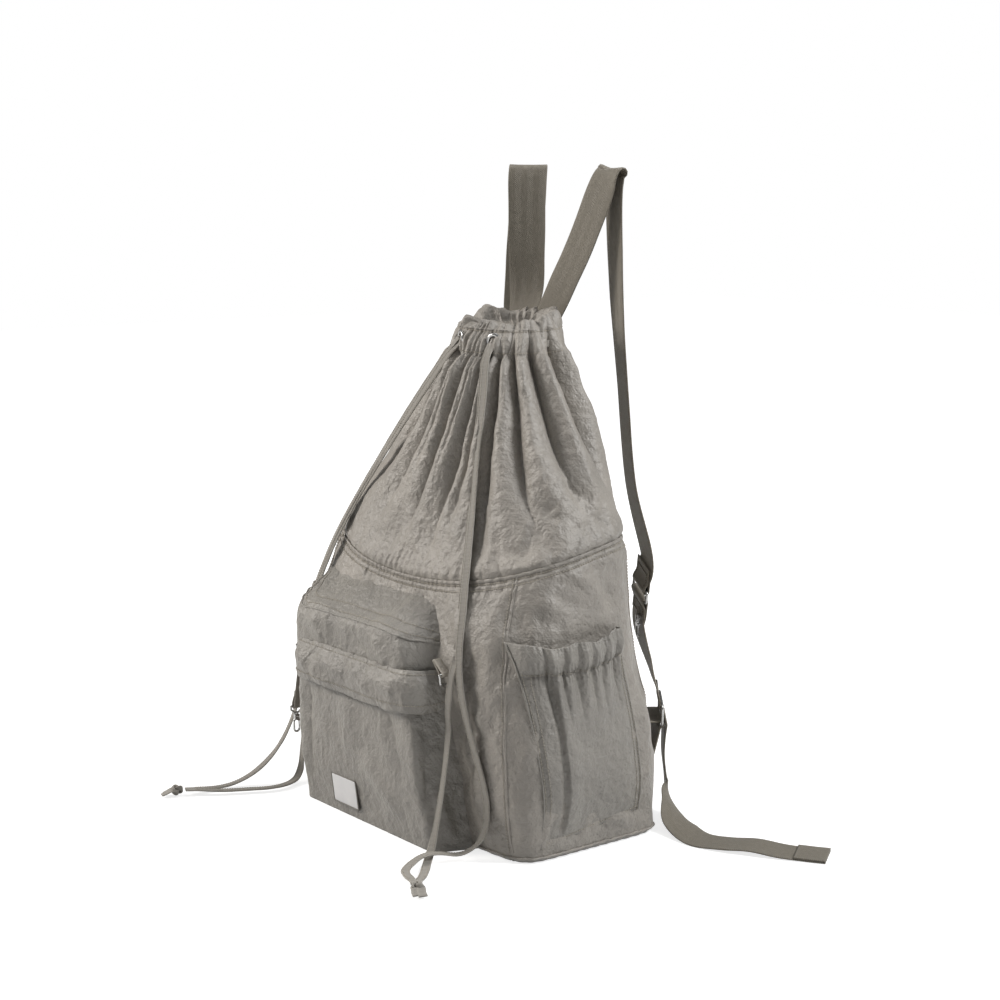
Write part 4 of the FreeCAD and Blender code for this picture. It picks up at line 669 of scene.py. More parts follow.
# Folds that fan out from the drawn mouth over the gathered cloth: direction at the mouth and at the yoke in
# degrees (0 is the bag's right side, -90 its front), half width at the yoke in mm, height in mm (a valley is
# negative), share of the way down where the fold has died out
UPPER_FOLDS = [
    (-60, -69, 16, 5.5, 1.00), (-56, -59, 8, -7.0, 0.90), (-52, -49, 17, 7.5, 0.96),
    (-47, -36, 9, -9.5, 0.98), (-41, -25, 16, 7.0, 0.92), (-35, -15, 8, -8.0, 0.97), (-29, -6, 14, 6.5, 0.88),
    (-22, 3, 8, -7.0, 0.86), (-13, 10, 15, 7.5, 1.02), (-3, 20, 9, -8.5, 0.98), (8, 27, 15, 7.0, 1.02),
    (20, 36, 9, -7.5, 0.96), (34, 47, 16, 5.0, 0.90), (48, 58, 9, -5.0, 0.82), (-64, -73, 10, -9.0, 0.98),
    (-69, -81, 17, 5.5, 0.80), (-74, -90, 7, -4.5, 0.60), (-80, -98, 24, 9.0, 1.00),
    (-86, -107, 10, -9.5, 0.94), (-95, -116, 19, 6.0, 0.85), (-101, -126, 7, -4.5, 0.64),
    (-106, -132, 22, 8.0, 0.98), (-115, -141, 10, -8.5, 0.88), (-127, -150, 18, 6.0, 0.90),
    (-140, -158, 10, -6.5, 0.80), (-152, -166, 9, -5.5, 0.84), (-165, -174, 17, 5.0, 0.92),
    (66, 70, 15, 5.0, 0.90), (80, 82, 9, -5.0, 0.84), (94, 94, 17, 5.0, 0.92), (108, 106, 9, -5.0, 0.85),
    (122, 118, 16, 5.0, 0.92), (138, 132, 9, -5.0, 0.84), (152, 146, 16, 5.0, 0.92),
    (168, 162, 9, -5.0, 0.84),
]
# Dents and short creases of the upper cloth, in millimetres: start, end, width, height
UPPER_DENTS = [
    ((150, -28, 322), (168, 10, 300), 7, -5.0), ((128, -46, 352), (150, -20, 322), 8, -4.5),
    ((146, 30, 366), (162, 40, 330), 8, -5.0), ((60, -66, 320), (84, -66, 296), 8, -4.0),
    ((100, -56, 318), (112, -74, 262), 9, 3.4), ((76, -70, 300), (84, -84, 254), 8, -3.2),
    ((30, -74, 300), (26, -90, 250), 9, -3.0), ((-40, -70, 300), (-44, -90, 250), 9, -3.0),
    ((140, -40, 310), (150, -58, 268), 8, -3.2), ((142, -2, 348), (160, 18, 330), 9, -5.5),
    ((152, 4, 322), (168, 26, 310), 8, -4.5), ((158, 28, 340), (172, 30, 296), 8, -3.6),
]


SEAM_ROWS = (3.4, 8.4)  # distances of the two rows of stitches from the yoke seam


def lower_cloth(rows=96, fine_rows=26):
    """Lower body: the form's section from the floor to the yoke seam, moved along its normals by folds and
    crumple. The cloth turns in over a soft corner at the foot. Rows lie closer together at the stitched
    top."""
    top = seam_height()
    share = np.concatenate([np.linspace(0, 0.94, rows), np.linspace(0.94, 1, fine_rows)[1:]])[:, None]
    z = share * top[None, :]
    angles = np.broadcast_to(ANGLES, z.shape)
    points = body_points(angles, z)
    normals = cloth_normals(angles, z)
    free = ramp(z, 0, 26) * ramp(top[None, :] - z, 0, 16)
    fall = top[None, :] - z
    push = folds(points, LOWER_FOLDS) * free * 1.4
    # slack of a hand's breadth, then the wash's large and small crumples
    push += noise(points * [1, 1, 0.55], 62.0, 3) * 3.2 * free
    push += crumple(points * [1, 1, 0.8], 40.0, 2.6, 2) * free
    push += crumple(points, 15.0, 0.42, 9) * ramp(z, 2, 12) * ramp(fall, 1, 8)
    # short drag lines that run up into the yoke seam, and down into the foot seam
    pucker = np.sin(angles * 96 + 2.4 * noise(points, 40.0, 4)) * 0.5
    push += pucker * (1 - ramp(fall, 2, 26)) * 1.1 + pucker * (1 - ramp(z, 3, 22)) * 0.8
    # a groove under each row of stitches, and the allowance that stands between them
    for drop in SEAM_ROWS:
        push -= 0.45 * np.exp(-(((fall - drop) / 0.9) ** 2))
    push += 0.5 * np.exp(-(((fall - sum(SEAM_ROWS) / 2) / 1.7) ** 2))
    tuck = -4.0 * (1 - ramp(z, 0, 6)) ** 1.5
    return points + normals * (push * fold_scale() + tuck)[..., None]


def fan_folds(points, angles, down):
    """Push of the folds that fan out from the mouth. `down` is 0 at the channel's foot and 1 at the yoke
    seam. Away from the front the folds run on up through the channel."""
    radius = np.linalg.norm(points[..., :2] - [0.0, 20.0], axis=-1)
    wander = 0.05 * noise(points * [0.5, 0.5, 0.8], 70.0, 19)
    aside = ramp(np.abs((angles + 1.5 * np.pi) % (2 * np.pi) - np.pi), 0.7, 1.2)
    push = np.zeros(down.shape)
    for mouth, yoke, width, height, end in UPPER_FOLDS:
        centre = np.radians(mouth + (yoke - mouth) * np.clip(down, 0, 1) ** 0.8)
        apart = (angles - centre + wander + np.pi) % (2 * np.pi) - np.pi
        distance = np.abs(apart) * radius
        size = width * (0.3 + 0.12 * aside + (0.7 - 0.12 * aside) * np.clip(down, 0, 1))
        form = np.exp(-((distance / size) ** 2)) if height > 0 else 1.2 * np.exp(-1.2 * distance / size)
        begun = ramp(down, -0.06 - 0.14 * aside, 0.12)
        push += 1.45 * height * form * begun * (1 - ramp(down, 0.45 * end, end))
    return push


def upper_cloth(rows=118):
    """Gathered body from the yoke to the drawn mouth. Pleats are sums of sines of the angle, sharpened at
    their valleys, and finer ones die out lower down, as two pleats run together into one."""
    low = seam_height()
    share = np.linspace(0, 1, rows)[:, None]
    high = CHANNEL_BOTTOM + 3.0 + MOUTH_TILT * (
        body_points(ANGLES, np.full(AROUND, CHANNEL_BOTTOM))[:, 1] - 2.0
    )
    z = low[None, :] - 2.0 + share * (high - low + 2.0)[None, :]
    angles = np.broadcast_to(ANGLES, z.shape)
    points = body_points(angles, z)
    normals = cloth_normals(angles, z)
    sway = 2.6 * noise(points * [0.6, 0.6, 0.3], 48.0, 1)  # radians by which the pleats wander
    down = (high - z) / (high - low)
    front = 1 - ramp(points[..., 1], -20, 40) * ramp(down, -1, 0.01)
    below = high[None, :] - z
    near = (1 - ramp(below, 2, 26)) * (0.35 + 0.65 * front)
    middle = (1 - ramp(below, 10, 80)) * (0.4 + 0.6 * front)

    def pleat(count, offset):
        wave = np.sin(angles * count / 2 + offset + sway)
        return np.abs(wave) ** 0.7 - 0.62

    push = pleat(62, 0.3) * near * 2.8 + pleat(28, 1.4) * middle * 3.4
    push += fan_folds(points, angles, down)
    above = z - low[None, :]
    push += folds(points, UPPER_DENTS) * ramp(above, 2, 22)
    free = ramp(above, 3, 20)
    push += noise(points * [1, 1, 0.45], 46.0, 6) * 2.2 * free
    push += crumple(points * [1, 1, 0.6], 34.0, 2.1, 4) * free
    push += crumple(points, 13.0, 0.42, 12)
    # gathers of uneven height that stand up from the yoke seam
    gather = np.abs(np.sin(angles * 27 + 7.0 * noise(points, 60.0, 8))) ** 0.8 - 0.6
    gather *= 1 - ramp(above, 3, 34 + 22 * noise(points * [1, 1, 0], 40.0, 9))
    push += gather * 2.4 * ramp(above, -1, 5) * (0.55 + 0.9 * np.abs(noise(points * [1, 1, 0], 55.0, 15)))
    # the cloth swells over the yoke seam, is nipped in it, and slips in under the channel
    bulge = 2.6 * (1 - ramp(above, 4, 24)) * ramp(above, -1, 7) - 1.2 * (1 - ramp(above, -1, 4))
    bulge -= 4.0 * (1 - ramp(below, -1, 12))
    return points + normals * (push * fold_scale() + bulge)[..., None]


def yoke_piping(cloth_top):
    """Rounded ridge of folded seam allowance that stands along the yoke seam."""
    path = cloth_top + cloth_normals(ANGLES, cloth_top[:, 2]) * 0.6 + [0, 0, -0.6]
    return sweep("yoke_ridge", path, UP, round_section(1.3, 8) * [1.6, 0.8], closed=True)


def row_below(grid, drop):
    """Path that runs at an even distance below the top row of a cloth grid, with its outward directions."""
    normals = grid_normals(grid, True)
    fall = grid[-1][None, :, 2] - grid[..., 2]
    rows = grid.shape[0] - 1 - np.argmax((fall[::-1] >= drop), axis=0)
    columns = np.arange(grid.shape[1])
    path, outward = grid[rows, columns], normals[rows, columns]
    path[:, 2] = grid[-1, :, 2] - drop
    return closed_line(path), closed_line(outward)


def corner_seam(grid, side, face):
    """Seam between two panels: where a plane at 45 degrees out of a line near the bag's end meets the
    cloth."""
    line_x = 85.0
    middle = (grid[..., 1].max(axis=1) + grid[..., 1].min(axis=1)) / 2
    out_x = side * grid[..., 0] - line_x
    out_y = face * (grid[..., 1] - middle[:, None])
    miss = np.where((out_x > 0) & (out_y > 0), np.abs(out_x - out_y), 1e6)
    column = np.argmin(miss, axis=1)
    rows = np.arange(0, len(grid), 3)
    normals = grid_normals(grid, True)
    path = smooth_path(grid[rows, column[rows]], 3)
    outward = unit(smooth_path(normals[rows, column[rows]], 3))
    for _ in range(6):
        path[1:-1] = (path[:-2] + 2 * path[1:-1] + path[2:]) / 4
    return path, outward


class BAG_OT_body(bpy.types.Operator):
    """Lower cloth with its foot piping, gathered upper cloth, yoke seam and its stitching"""

    bl_idname = "bag.body"
    bl_label = "Body"

    def execute(self, context):
        lower = lower_cloth()
        panels = ["front_panel", "back_panel", "side_panel_right", "side_panel_left"]
        dress(lined("lower_body", lower), "cloth", panels)
        dress(lined("upper_body_cloth", upper_cloth()), "cloth", ["upper_body"])
        dress(yoke_piping(lower[-1]), "cloth")
        for k, drop in enumerate(SEAM_ROWS):
            sew(f"yoke_stitches_{k}", *row_below(lower, drop), 0.45, radius=0.42)
        for k, (side, face) in enumerate(((1, 1), (1, -1), (-1, 1), (-1, -1))):
            path, outward = corner_seam(lower, side, face)
            across = np.cross(outward, np.gradient(path, axis=0))
            dress(
                sweep(f"corner_seam_{k}", path + outward * 0.1, across, round_section(1.0, 8) * [1.3, 0.8]),
                "cloth"
            )
            sew(f"corner_stitches_{k}", path + unit(across) * 3.2, outward, 0.5)
        foot = lower[2] + grid_normals(lower, True)[2] * 0.4
        dress(sweep("foot_ridge", foot, UP, round_section(1.3, 8), closed=True), "cloth")
        # base: rings of the section drawn in to the middle of the floor
        shares = np.array([1.0, 0.97, 0.9, 0.75, 0.5, 0.25, 0.02])[:, None, None]
        base = body_points(ANGLES, 0.0, -7.0)[None] * [1, 1, 0] * shares + [0, 0, 0.05]
        points = np.concatenate([base[::-1], base + [0, 0, 2.6]])
        faces = [quads(len(points), AROUND, wrap_cols=True)] + end_caps(len(points), AROUND)
        dress(build_mesh("base_cloth", points, faces), "cloth", ["base_panel"])
        return {"FINISHED"}


# ---------------------------------------------------------------- mouth


def mouth_cloth():
    """Channel and ruffle of the drawn mouth: a profile carried round the mouth and gathered. Along the
    profile the cloth swells over the cord, is nipped by the stitching, puffs up into the low ruffle and is
    drawn in towards the middle, where it folds down into the bag. Above the stitching the back stands higher
    and leans forward over the front. The gathers are a sharpened sine of the angle."""
    # outward offset, height above the channel's foot, depth of the gathers, share of the way to the mouth's
    # middle
    profile = np.array([
        (-4.5, -15.0, 1.0, 0), (-2.0, -8.0, 2.0, 0), (1.6, -2.0, 2.6, 0), (4.8, 3.0, 2.8, 0),
        (6.8, 9.0, 3.2, 0), (6.2, 15.0, 3.2, 0), (3.4, 19.5, 2.6, 0), (2.2, 21.5, 2.6, 0),
        (2.6, 24.0, 3.4, 0), (1.6, 27.0, 4.0, 0.04), (-0.5, 28.6, 4.4, 0.1), (-3.0, 28.0, 4.6, 0.18),
        (-4.0, 25.6, 4.6, 0.27), (-4.0, 23.0, 4.4, 0.36), (-4.0, 21.5, 4.4, 0.46), (-4.0, 20.0, 4.4, 0.56),
        (-4.0, 17.0, 4.0, 0.66), (-4.0, 10.0, 3.6, 0.74), (-4.0, -4.0, 3.0, 0.8),
    ])
    profile = smooth_path(profile, 4)
    angles = np.broadcast_to(ANGLES, (len(profile), AROUND))
    base = body_points(ANGLES, np.full(AROUND, CHANNEL_BOTTOM))
    back = ramp(base[:, 1], 12, 70)
    crest = ramp(profile[:, 1], 22, 27)
    tilt = MOUTH_TILT * (base[:, 1] - 2.0)[None, :]
    taller = (6.0 * back - 2.0 * (1 - back))[None, :] * crest[:, None]
    z = CHANNEL_BOTTOM + tilt + profile[:, 1, None] + taller
    front = (1 - ramp(base[:, 1], -6, 34))[None, :]
    points = body_points(angles, z, profile[:, 0, None] * (0.25 + 0.75 * front))
    normals = cloth_normals(angles, np.minimum(z, 500.0))
    sway = 2.4 * noise(points * [0.7, 0.7, 0.25], 30.0, 21)
    wave = np.abs(np.sin(angles * 21 + 0.4 + sway)) ** 0.75 - 0.62
    puff = np.abs(np.sin(angles * 8 + 1.4 + sway * 0.8)) ** 0.9 - 0.6
    push = (wave * (0.3 + 0.6 * front) + puff * 1.5) * profile[:, 2, None]
    push += crumple(points, 13.0, 0.6, 3) + noise(points, 30.0, 14) * 3.0
    low, high = seam_height(), CHANNEL_BOTTOM + 3.0 + MOUTH_TILT * (base[:, 1] - 2.0)
    outside = 1 - ramp(profile[:, 3, None], 0.0, 0.06)
    push += fan_folds(points, angles, (high - z) / (high - low)) * outside
    points = points + normals * push[..., None] * [1, 1, 0.3]
    lift = noise(points, 24.0, 17) * 8.0 + puff * 4.5 + wave * 1.2
    lift *= (crest * ramp(profile[:, 3], 0.0, 0.1))[:, None]
    middle = np.array([4.0, 50.0, 0.0])
    drawn = profile[:, 3, None, None] * (1 - 0.06 * puff[..., None])
    flat = points * [1, 1, 0] * (1 - drawn) + middle * drawn
    return flat + points * UP + lift[..., None] * UP, profile


class BAG_OT_mouth(bpy.types.Operator):
    """Drawcord channel, ruffle and eyelets"""

    bl_idname = "bag.mouth"
    bl_label = "Mouth"

    def execute(self, context):
        cloth, profile = mouth_cloth()
        normals = grid_normals(cloth, True)
        dress(shell("mouth_cloth", cloth, 0.9, wrap_cols=True), "cloth", ["drawcord_channel", "mouth_ruffle"])
        outside = profile[:32, 1]
        for name, height in (("channel_stitches_low", 1.0), ("channel_stitches_high", 21.0)):
            row = int(np.argmin(np.abs(outside - height)))
            sew(name, closed_line(cloth[row]), closed_line(normals[row]), 0.3)
        # rolled rim of an eyelet: distance from its middle, and height over the cloth
        rim = [
            (5.0, -2.2), (5.9, -2.2), (5.9, 1.4), (8.6, 1.4), (8.5, 2.0), (7.6, 2.6), (6.6, 2.9), (5.6, 2.7),
            (5.1, 2.0),
        ]
        for side, way in SIDES:
            node = f"eyelet_{side}"
            outward = unit(np.array([way * 0.36, -0.93, 0.0]))
            ring = lathe(f"eyelet_ring_{side}", rim, sum(mm_box(node)) / 2 + outward * 1.4, outward)
            dress(ring, "metal", [node])
        return {"FINISHED"}


# ---------------------------------------------------------------- front pocket

# The pocket's front leans out from its foot up to a height, and its top is sewn on along a line of even Y
POCKET_FOOT_Y, POCKET_FRONT_Y, POCKET_LEAN_TOP, POCKET_SEAM_Y = -131.0, -139.0, 60.0, -77.0
# Plan corners of the pocket at the floor and at the top seam, and the height of its top
POCKET_CORNERS = np.array([
    [(-117.0, -88.0), (-137.1, POCKET_SEAM_Y)], [(-122.0, POCKET_FOOT_Y), (-127.0, POCKET_FRONT_Y)],
    [(106.0, POCKET_FOOT_Y), (57.0, POCKET_FRONT_Y)], [(122.0, -88.0), (99.5, POCKET_SEAM_Y)],
])
POCKET_WALL_TOP, POCKET_BACK_TOP = 202.0, 220.0
LABEL_PLACE, LABEL_OFF = (-38.0, 26.0), 0.9  # X and Z of the label's middle, and its distance from the cloth


def pocket_top(x, y):
    """Height of the pocket's top at a place: a slope that rises to the bag, falling away at the soft right
    corner. The two planes meet in a round shoulder, by a soft minimum."""
    slope = 200.0 + 0.606 * (y - POCKET_FRONT_Y)
    slump = 198.0 - 1.076 * (x - 62.0) + 0.582 * (y - POCKET_FRONT_Y)
    bow = 3.0 * np.sin(np.clip((x + 110) / 160, 0, 1) * np.pi)
    return -6.0 * np.log(np.exp(-(slope + bow) / 6.0) + np.exp(-slump / 6.0))


def pocket_plan(z, count):
    """Plan outline at heights z: straight sides with corners rounded by a quadratic blend, spaced evenly."""
    share = np.clip(z / POCKET_BACK_TOP, 0, 1)[:, None, None]
    corners = POCKET_CORNERS[None, :, 0] + share * (POCKET_CORNERS[None, :, 1] - POCKET_CORNERS[None, :, 0])
    lean = ramp(z, 0, POCKET_LEAN_TOP)[:, None]
    corners[:, 1:3, 1] = POCKET_FOOT_Y + (POCKET_FRONT_Y - POCKET_FOOT_Y) * lean
    a, b, c, d = (corners[:, k:k + 1] for k in range(4))
    cut = 15.0  # how far from a corner its bend starts

    def bend(before, corner, after, t):
        first, last = corner + unit(before - corner) * cut, corner + unit(after - corner) * cut
        return (1 - t) ** 2 * first + 2 * t * (1 - t) * corner + t * t * last

    t = np.linspace(0, 1, 10)[:, None]
    outline = np.concatenate([a, bend(a, b, c, t), bend(b, c, d, t), d], axis=1)
    return np.stack([even_path(line, lengths_along(line)[-1] / (count - 1)) for line in outline])


# Folds of the front pocket and of its placket, in millimetres: start, end, width, height
POCKET_FOLDS = [
    ((104, -126, 192), (104, -122, 20), 6, 3.4), ((86, -132, 190), (96, -130, 30), 7, -3.2),
    ((78, -136, 118), (100, -128, 10), 7, 3.6), ((60, -139, 200), (74, -138, 172), 6, 2.8),
    ((70, -136, 176), (88, -120, 168), 5, -2.4), ((40, -139, 130), (70, -138, 60), 12, -2.4),
    ((-30, -139, 128), (-20, -138, 70), 16, 2.4), ((-96, -139, 126), (-100, -138, 20), 10, -2.6),
    ((-80, -139, 90), (-40, -139, 66), 10, 2.2), ((0, -139, 70), (60, -136, 30), 12, 2.4),
    ((-110, -128, 205), (-60, -128, 207), 6, 2.0), ((-40, -122, 209), (20, -120, 211), 8, -2.2),
    ((10, -132, 204), (60, -130, 200), 6, 2.4), ((110, -110, 180), (112, -106, 30), 6, -2.6),
    ((-30, -139, 196), (10, -139, 176), 8, -2.2), ((-90, -139, 198), (-70, -139, 176), 7, 2.0),
    ((96, -120, 60), (112, -112, 8), 6, 2.6), ((20, -139, 196), (44, -139, 174), 6, 2.2),
]
PLACKET_FOLDS = [
    ((-108, -146, 158), (-60, -147, 146), 7, 2.6), ((-70, -147, 160), (-20, -147, 150), 6, 2.2),
    ((-10, -147, 164), (30, -147, 140), 6, 2.8), ((20, -147, 160), (66, -144, 150), 6, 2.4),
    ((60, -146, 166), (86, -118, 152), 6, 3.0), ((-100, -147, 146), (-40, -147, 138), 7, 2.2),
    ((30, -147, 142), (84, -122, 140), 6, 2.6),
]


def pocket_cloth(columns=300, wall_rows=110, top_rows=34):
    """Wall and top of the bellows pocket as one grid: rows climb the wall, then cross the top towards the
    bag. On the top a column runs from its place on the wall's outline to its share of the seam along the
    bag."""
    share = np.linspace(0, 1, wall_rows)
    plan = pocket_plan(share * POCKET_WALL_TOP, columns)
    top_z = pocket_top(plan[-1, :, 0], plan[-1, :, 1])
    wall = np.concatenate([plan, (share[:, None] * top_z)[..., None]], axis=2)
    across = np.linspace(0, 1, columns)
    seam_x = plan[-1, 0, 0] + across * (plan[-1, -1, 0] - plan[-1, 0, 0])
    seam = np.stack([seam_x, np.full(columns, POCKET_SEAM_Y)], axis=1)
    t = np.linspace(0, 1, top_rows)[1:, None, None]
    lid = plan[-1][None] * (1 - t) + seam[None] * t
    lid = np.concatenate([lid, pocket_top(lid[..., 0], lid[..., 1])[..., None]], axis=2)
    grid = np.concatenate([wall, lid])
    edge = slice(wall_rows - 9, wall_rows + 8)  # the shoulder between wall and top is relaxed to a round one
    grid[edge] = smoothed(grid[edge], 26, 0.8)
    normals = grid_normals(grid)
    side = np.minimum(np.arange(columns), np.arange(columns)[::-1])[None, :]
    free = ramp(side, 2, 26) * ramp(grid[..., 2], 0, 16)
    last = ramp(np.arange(len(grid))[::-1], 0, 8)[:, None]
    push = folds(grid, POCKET_FOLDS) * free * last * 1.35
    push += noise(grid * [1, 1, 0.7], 44.0, 31) * 2.4 * free
    push += crumple(grid, 30.0, 1.3, 33) * free + crumple(grid, 12.0, 0.34, 36) * last
    # puckers along the overlocked seam at the right
    at_seam = 1 - ramp(np.arange(columns)[::-1], 0, 20)[None, :]
    push += at_seam * np.sin(grid[..., 2] / 2.9 + 2.0 * noise(grid, 20.0, 5))
    # uneven puckers along the top's edge
    rim = np.exp(-((np.arange(len(grid))[:, None] - wall_rows) / 7.0) ** 2)
    uneven = np.clip(0.35 + 1.8 * noise(grid * [1, 1, 0], 46.0, 11), 0, 1.5)
    push += rim * np.sin(np.arange(columns)[None, :] * 0.46 + 4.5 * noise(grid, 26.0, 8)) * 0.8 * uneven
    push = push * fold_scale()
    # the window of the zip lies lower than the cloth round it
    x, z = grid[..., 0], grid[..., 2]
    window = ramp(x, -103, -99) * (1 - ramp(x, 47, 51)) * ramp(z, 141.5, 143.5) * (1 - ramp(z, 154.5, 156.5))
    window *= np.arange(len(grid))[:, None] < wall_rows
    near = ramp(x, -112, -104) * (1 - ramp(x, 52, 62)) * ramp(z, 132, 138) * (1 - ramp(z, 160, 168))
    push = push * (1 - near) + near * -0.3
    push = push * (1 - window) - 3.6 * window
    return grid + normals * push[..., None], normals, wall_rows


def placket_cloth(columns=230):
    """Flap over the zip: from its seam it swells out, falls past the zip and ends in a turned hem, open
    below. It follows the pocket's outline round the right corner and ends at the seam there."""
    profile = smooth_path(np.array([
        (0.2, 172.5), (1.6, 171.0), (4.8, 166.0), (7.4, 158.0), (8.2, 149.0), (7.9, 141.0), (7.2, 136.0),
        (6.3, 133.6), (5.4, 134.2),
    ]), 6)
    outline = pocket_plan(np.array([150.0]), 420)[0]
    first = int(np.argmax((outline[:, 0] > -114.0) & (outline[:, 1] < -138.0)))
    pick = np.linspace(first, len(outline) - 9, columns).astype(int)
    along = np.gradient(outline, axis=0)
    out = unit(np.stack([along[:, 1], -along[:, 0]], axis=1))
    flat = np.stack([out[None, :, 0], out[None, :, 1], 0 * out[None, :, 0]], axis=-1)
    out = smoothed(flat, 12)[0, pick, :2]
    line, out = outline[pick], unit(out)
    share = np.linspace(0, 1, columns)[None, :]
    taper = (0.3 + 0.7 * ramp(share, 0, 0.04)) * (1 - 0.8 * ramp(share, 0.8, 1.0))
    depth = 0.3 + profile[:, 0, None] * taper
    fall = ramp(-profile[:, 1, None], -172, -134)
    z = profile[:, 1, None] + fall * (7.0 * ramp(share, 0.84, 1.0) - 2.2 * np.sin(share * np.pi * 1.1) ** 2)
    grid = np.concatenate([line[None] + out[None] * depth[..., None], z[..., None]], axis=-1)
    normals = grid_normals(grid)
    outward = np.sum(normals[..., :2] * out[None], axis=-1, keepdims=True)
    normals = np.where(outward < 0, -normals, normals)
    slack = ramp(-z, -170, -158)
    push = np.abs(noise(grid * [1, 1, 0.5], 30.0, 41)) * 3.6 * slack + crumple(grid, 18.0, 0.8, 42) * slack
    push += np.sin(line[None, :, 0] / 3.4 + 2.2 * noise(grid, 22.0, 44)) * 0.6 * (1 - ramp(-z, -171, -160))
    push += folds(grid, PLACKET_FOLDS) * slack
    push += 0.5 * np.exp(-(((z - 140.5) / 1.6) ** 2))  # the hem's turned edge shows through
    return grid + normals * (np.maximum(push, -0.6) * taper)[..., None], normals


def rounded_outline(wide, tall, corner, steps=6):
    """Closed outline of a rectangle with round corners, in its own plane."""
    quarter = np.linspace(0, np.pi / 2, steps)
    parts = []
    for k, (sx, sy) in enumerate(((1, 1), (-1, 1), (-1, -1), (1, -1))):
        a = quarter + k * np.pi / 2
        middle = np.array([sx * (wide / 2 - corner), sy * (tall / 2 - corner)])
        parts.append(middle + corner * np.stack([np.cos(a), np.sin(a)], axis=1))
    return np.concatenate(parts)


def label_piece(name, outline, rings):
    """Plate on the leaning foot of the pocket's front: rings of the outline, drawn in by a share at a
    height."""
    x, z = LABEL_PLACE
    slope = (POCKET_FRONT_Y - POCKET_FOOT_Y) / POCKET_LEAN_TOP
    lean = math.atan(-slope)
    out = np.array([0, -math.cos(lean), -math.sin(lean)])
    place = np.array([x, POCKET_FOOT_Y + slope * z, z]) + out * LABEL_OFF
    rise = np.array([0, -math.sin(lean), math.cos(lean)])
    flat = np.stack([outline * share for share, _ in rings])
    high = np.array([height for _, height in rings])[:, None, None]
    points = place + flat[..., 0:1] * [1.0, 0, 0] + flat[..., 1:2] * rise + high * out
    count = len(outline)
    return build_mesh(name, points, [quads(len(rings), count, wrap_cols=True)] + end_caps(len(rings), count))


class BAG_OT_front_pocket(bpy.types.Operator):
    """Bellows pocket with its placket, edge stitching and label"""

    bl_idname = "bag.front_pocket"
    bl_label = "Front pocket"

    def execute(self, context):
        grid, normals, wall = pocket_cloth()
        dress(shell("front_pocket_cloth", grid, 1.1, normals=normals), "pocket cloth", ["front_pocket"])
        for k, row in enumerate((wall + 4, wall + 9)):
            sew(f"pocket_top_stitches_{k}", grid[row, 18:286], normals[row, 18:286])
        edge, out = grid[wall + 1, 6:294], normals[wall + 1, 6:294]
        dress(sweep("pocket_top_ridge", edge + out * 0.1, out, round_section(1.2, 8)), "pocket cloth")
        flap, out = placket_cloth()
        dress(shell("placket_cloth", flap, 1.0, normals=out), "pocket cloth", ["pocket_placket"])
        for k, height in enumerate((168.5, 139.0)):
            row = np.argmin(np.abs(flap[:, 60, 2] - height))
            sew(f"placket_stitches_{k}", flap[row, 3:-3], out[row, 3:-3])
        # the label's rim and face: share of the outline, and height over the cloth
        rim = [
            (0.93, -0.4), (1.0, -0.3), (1.0, 0.7), (0.985, 1.05), (0.955, 1.1), (0.935, 0.9), (0.93, 0.3),
            (0.9, -0.2),
        ]
        plate = [(0.9, 0.0), (1.0, 0.0), (1.0, 0.5), (0.985, 0.72), (0.9, 0.82), (0.5, 0.9), (0.05, 0.92)]
        dress(label_piece("label_rim", rounded_outline(45.0, 32.0, 2.2), rim), "frame", ["label_frame"])
        dress(label_piece("label_face", rounded_outline(42.0, 29.0, 1.4), plate), "plate", ["label_plate"])
        return {"FINISHED"}


# ---------------------------------------------------------------- side pockets


def body_side_x(y, z, grow):
    """X of the body's right side at Y and height: the superellipse solved for x."""
    half_width, front, back, square = level_values(z)
    a, b = half_width + grow, (back - front) / 2 + grow
    share = np.clip(np.abs((y - (front + back) / 2) / b), 0, 0.9999)
    return a * (1 - share**square) ** (1 / square)


HEM = 0.144  # share of the side pocket's height that its hem takes


# Gathers under the side pocket's hem: share of the way back, width as a share, depth in mm
SIDE_GATHERS = (
    (0.17, 0.022, 3.6), (0.31, 0.018, 2.4), (0.43, 0.024, 3.0), (0.58, 0.02, 2.2), (0.72, 0.022, 2.6),
    (0.88, 0.022, 3.4),
)


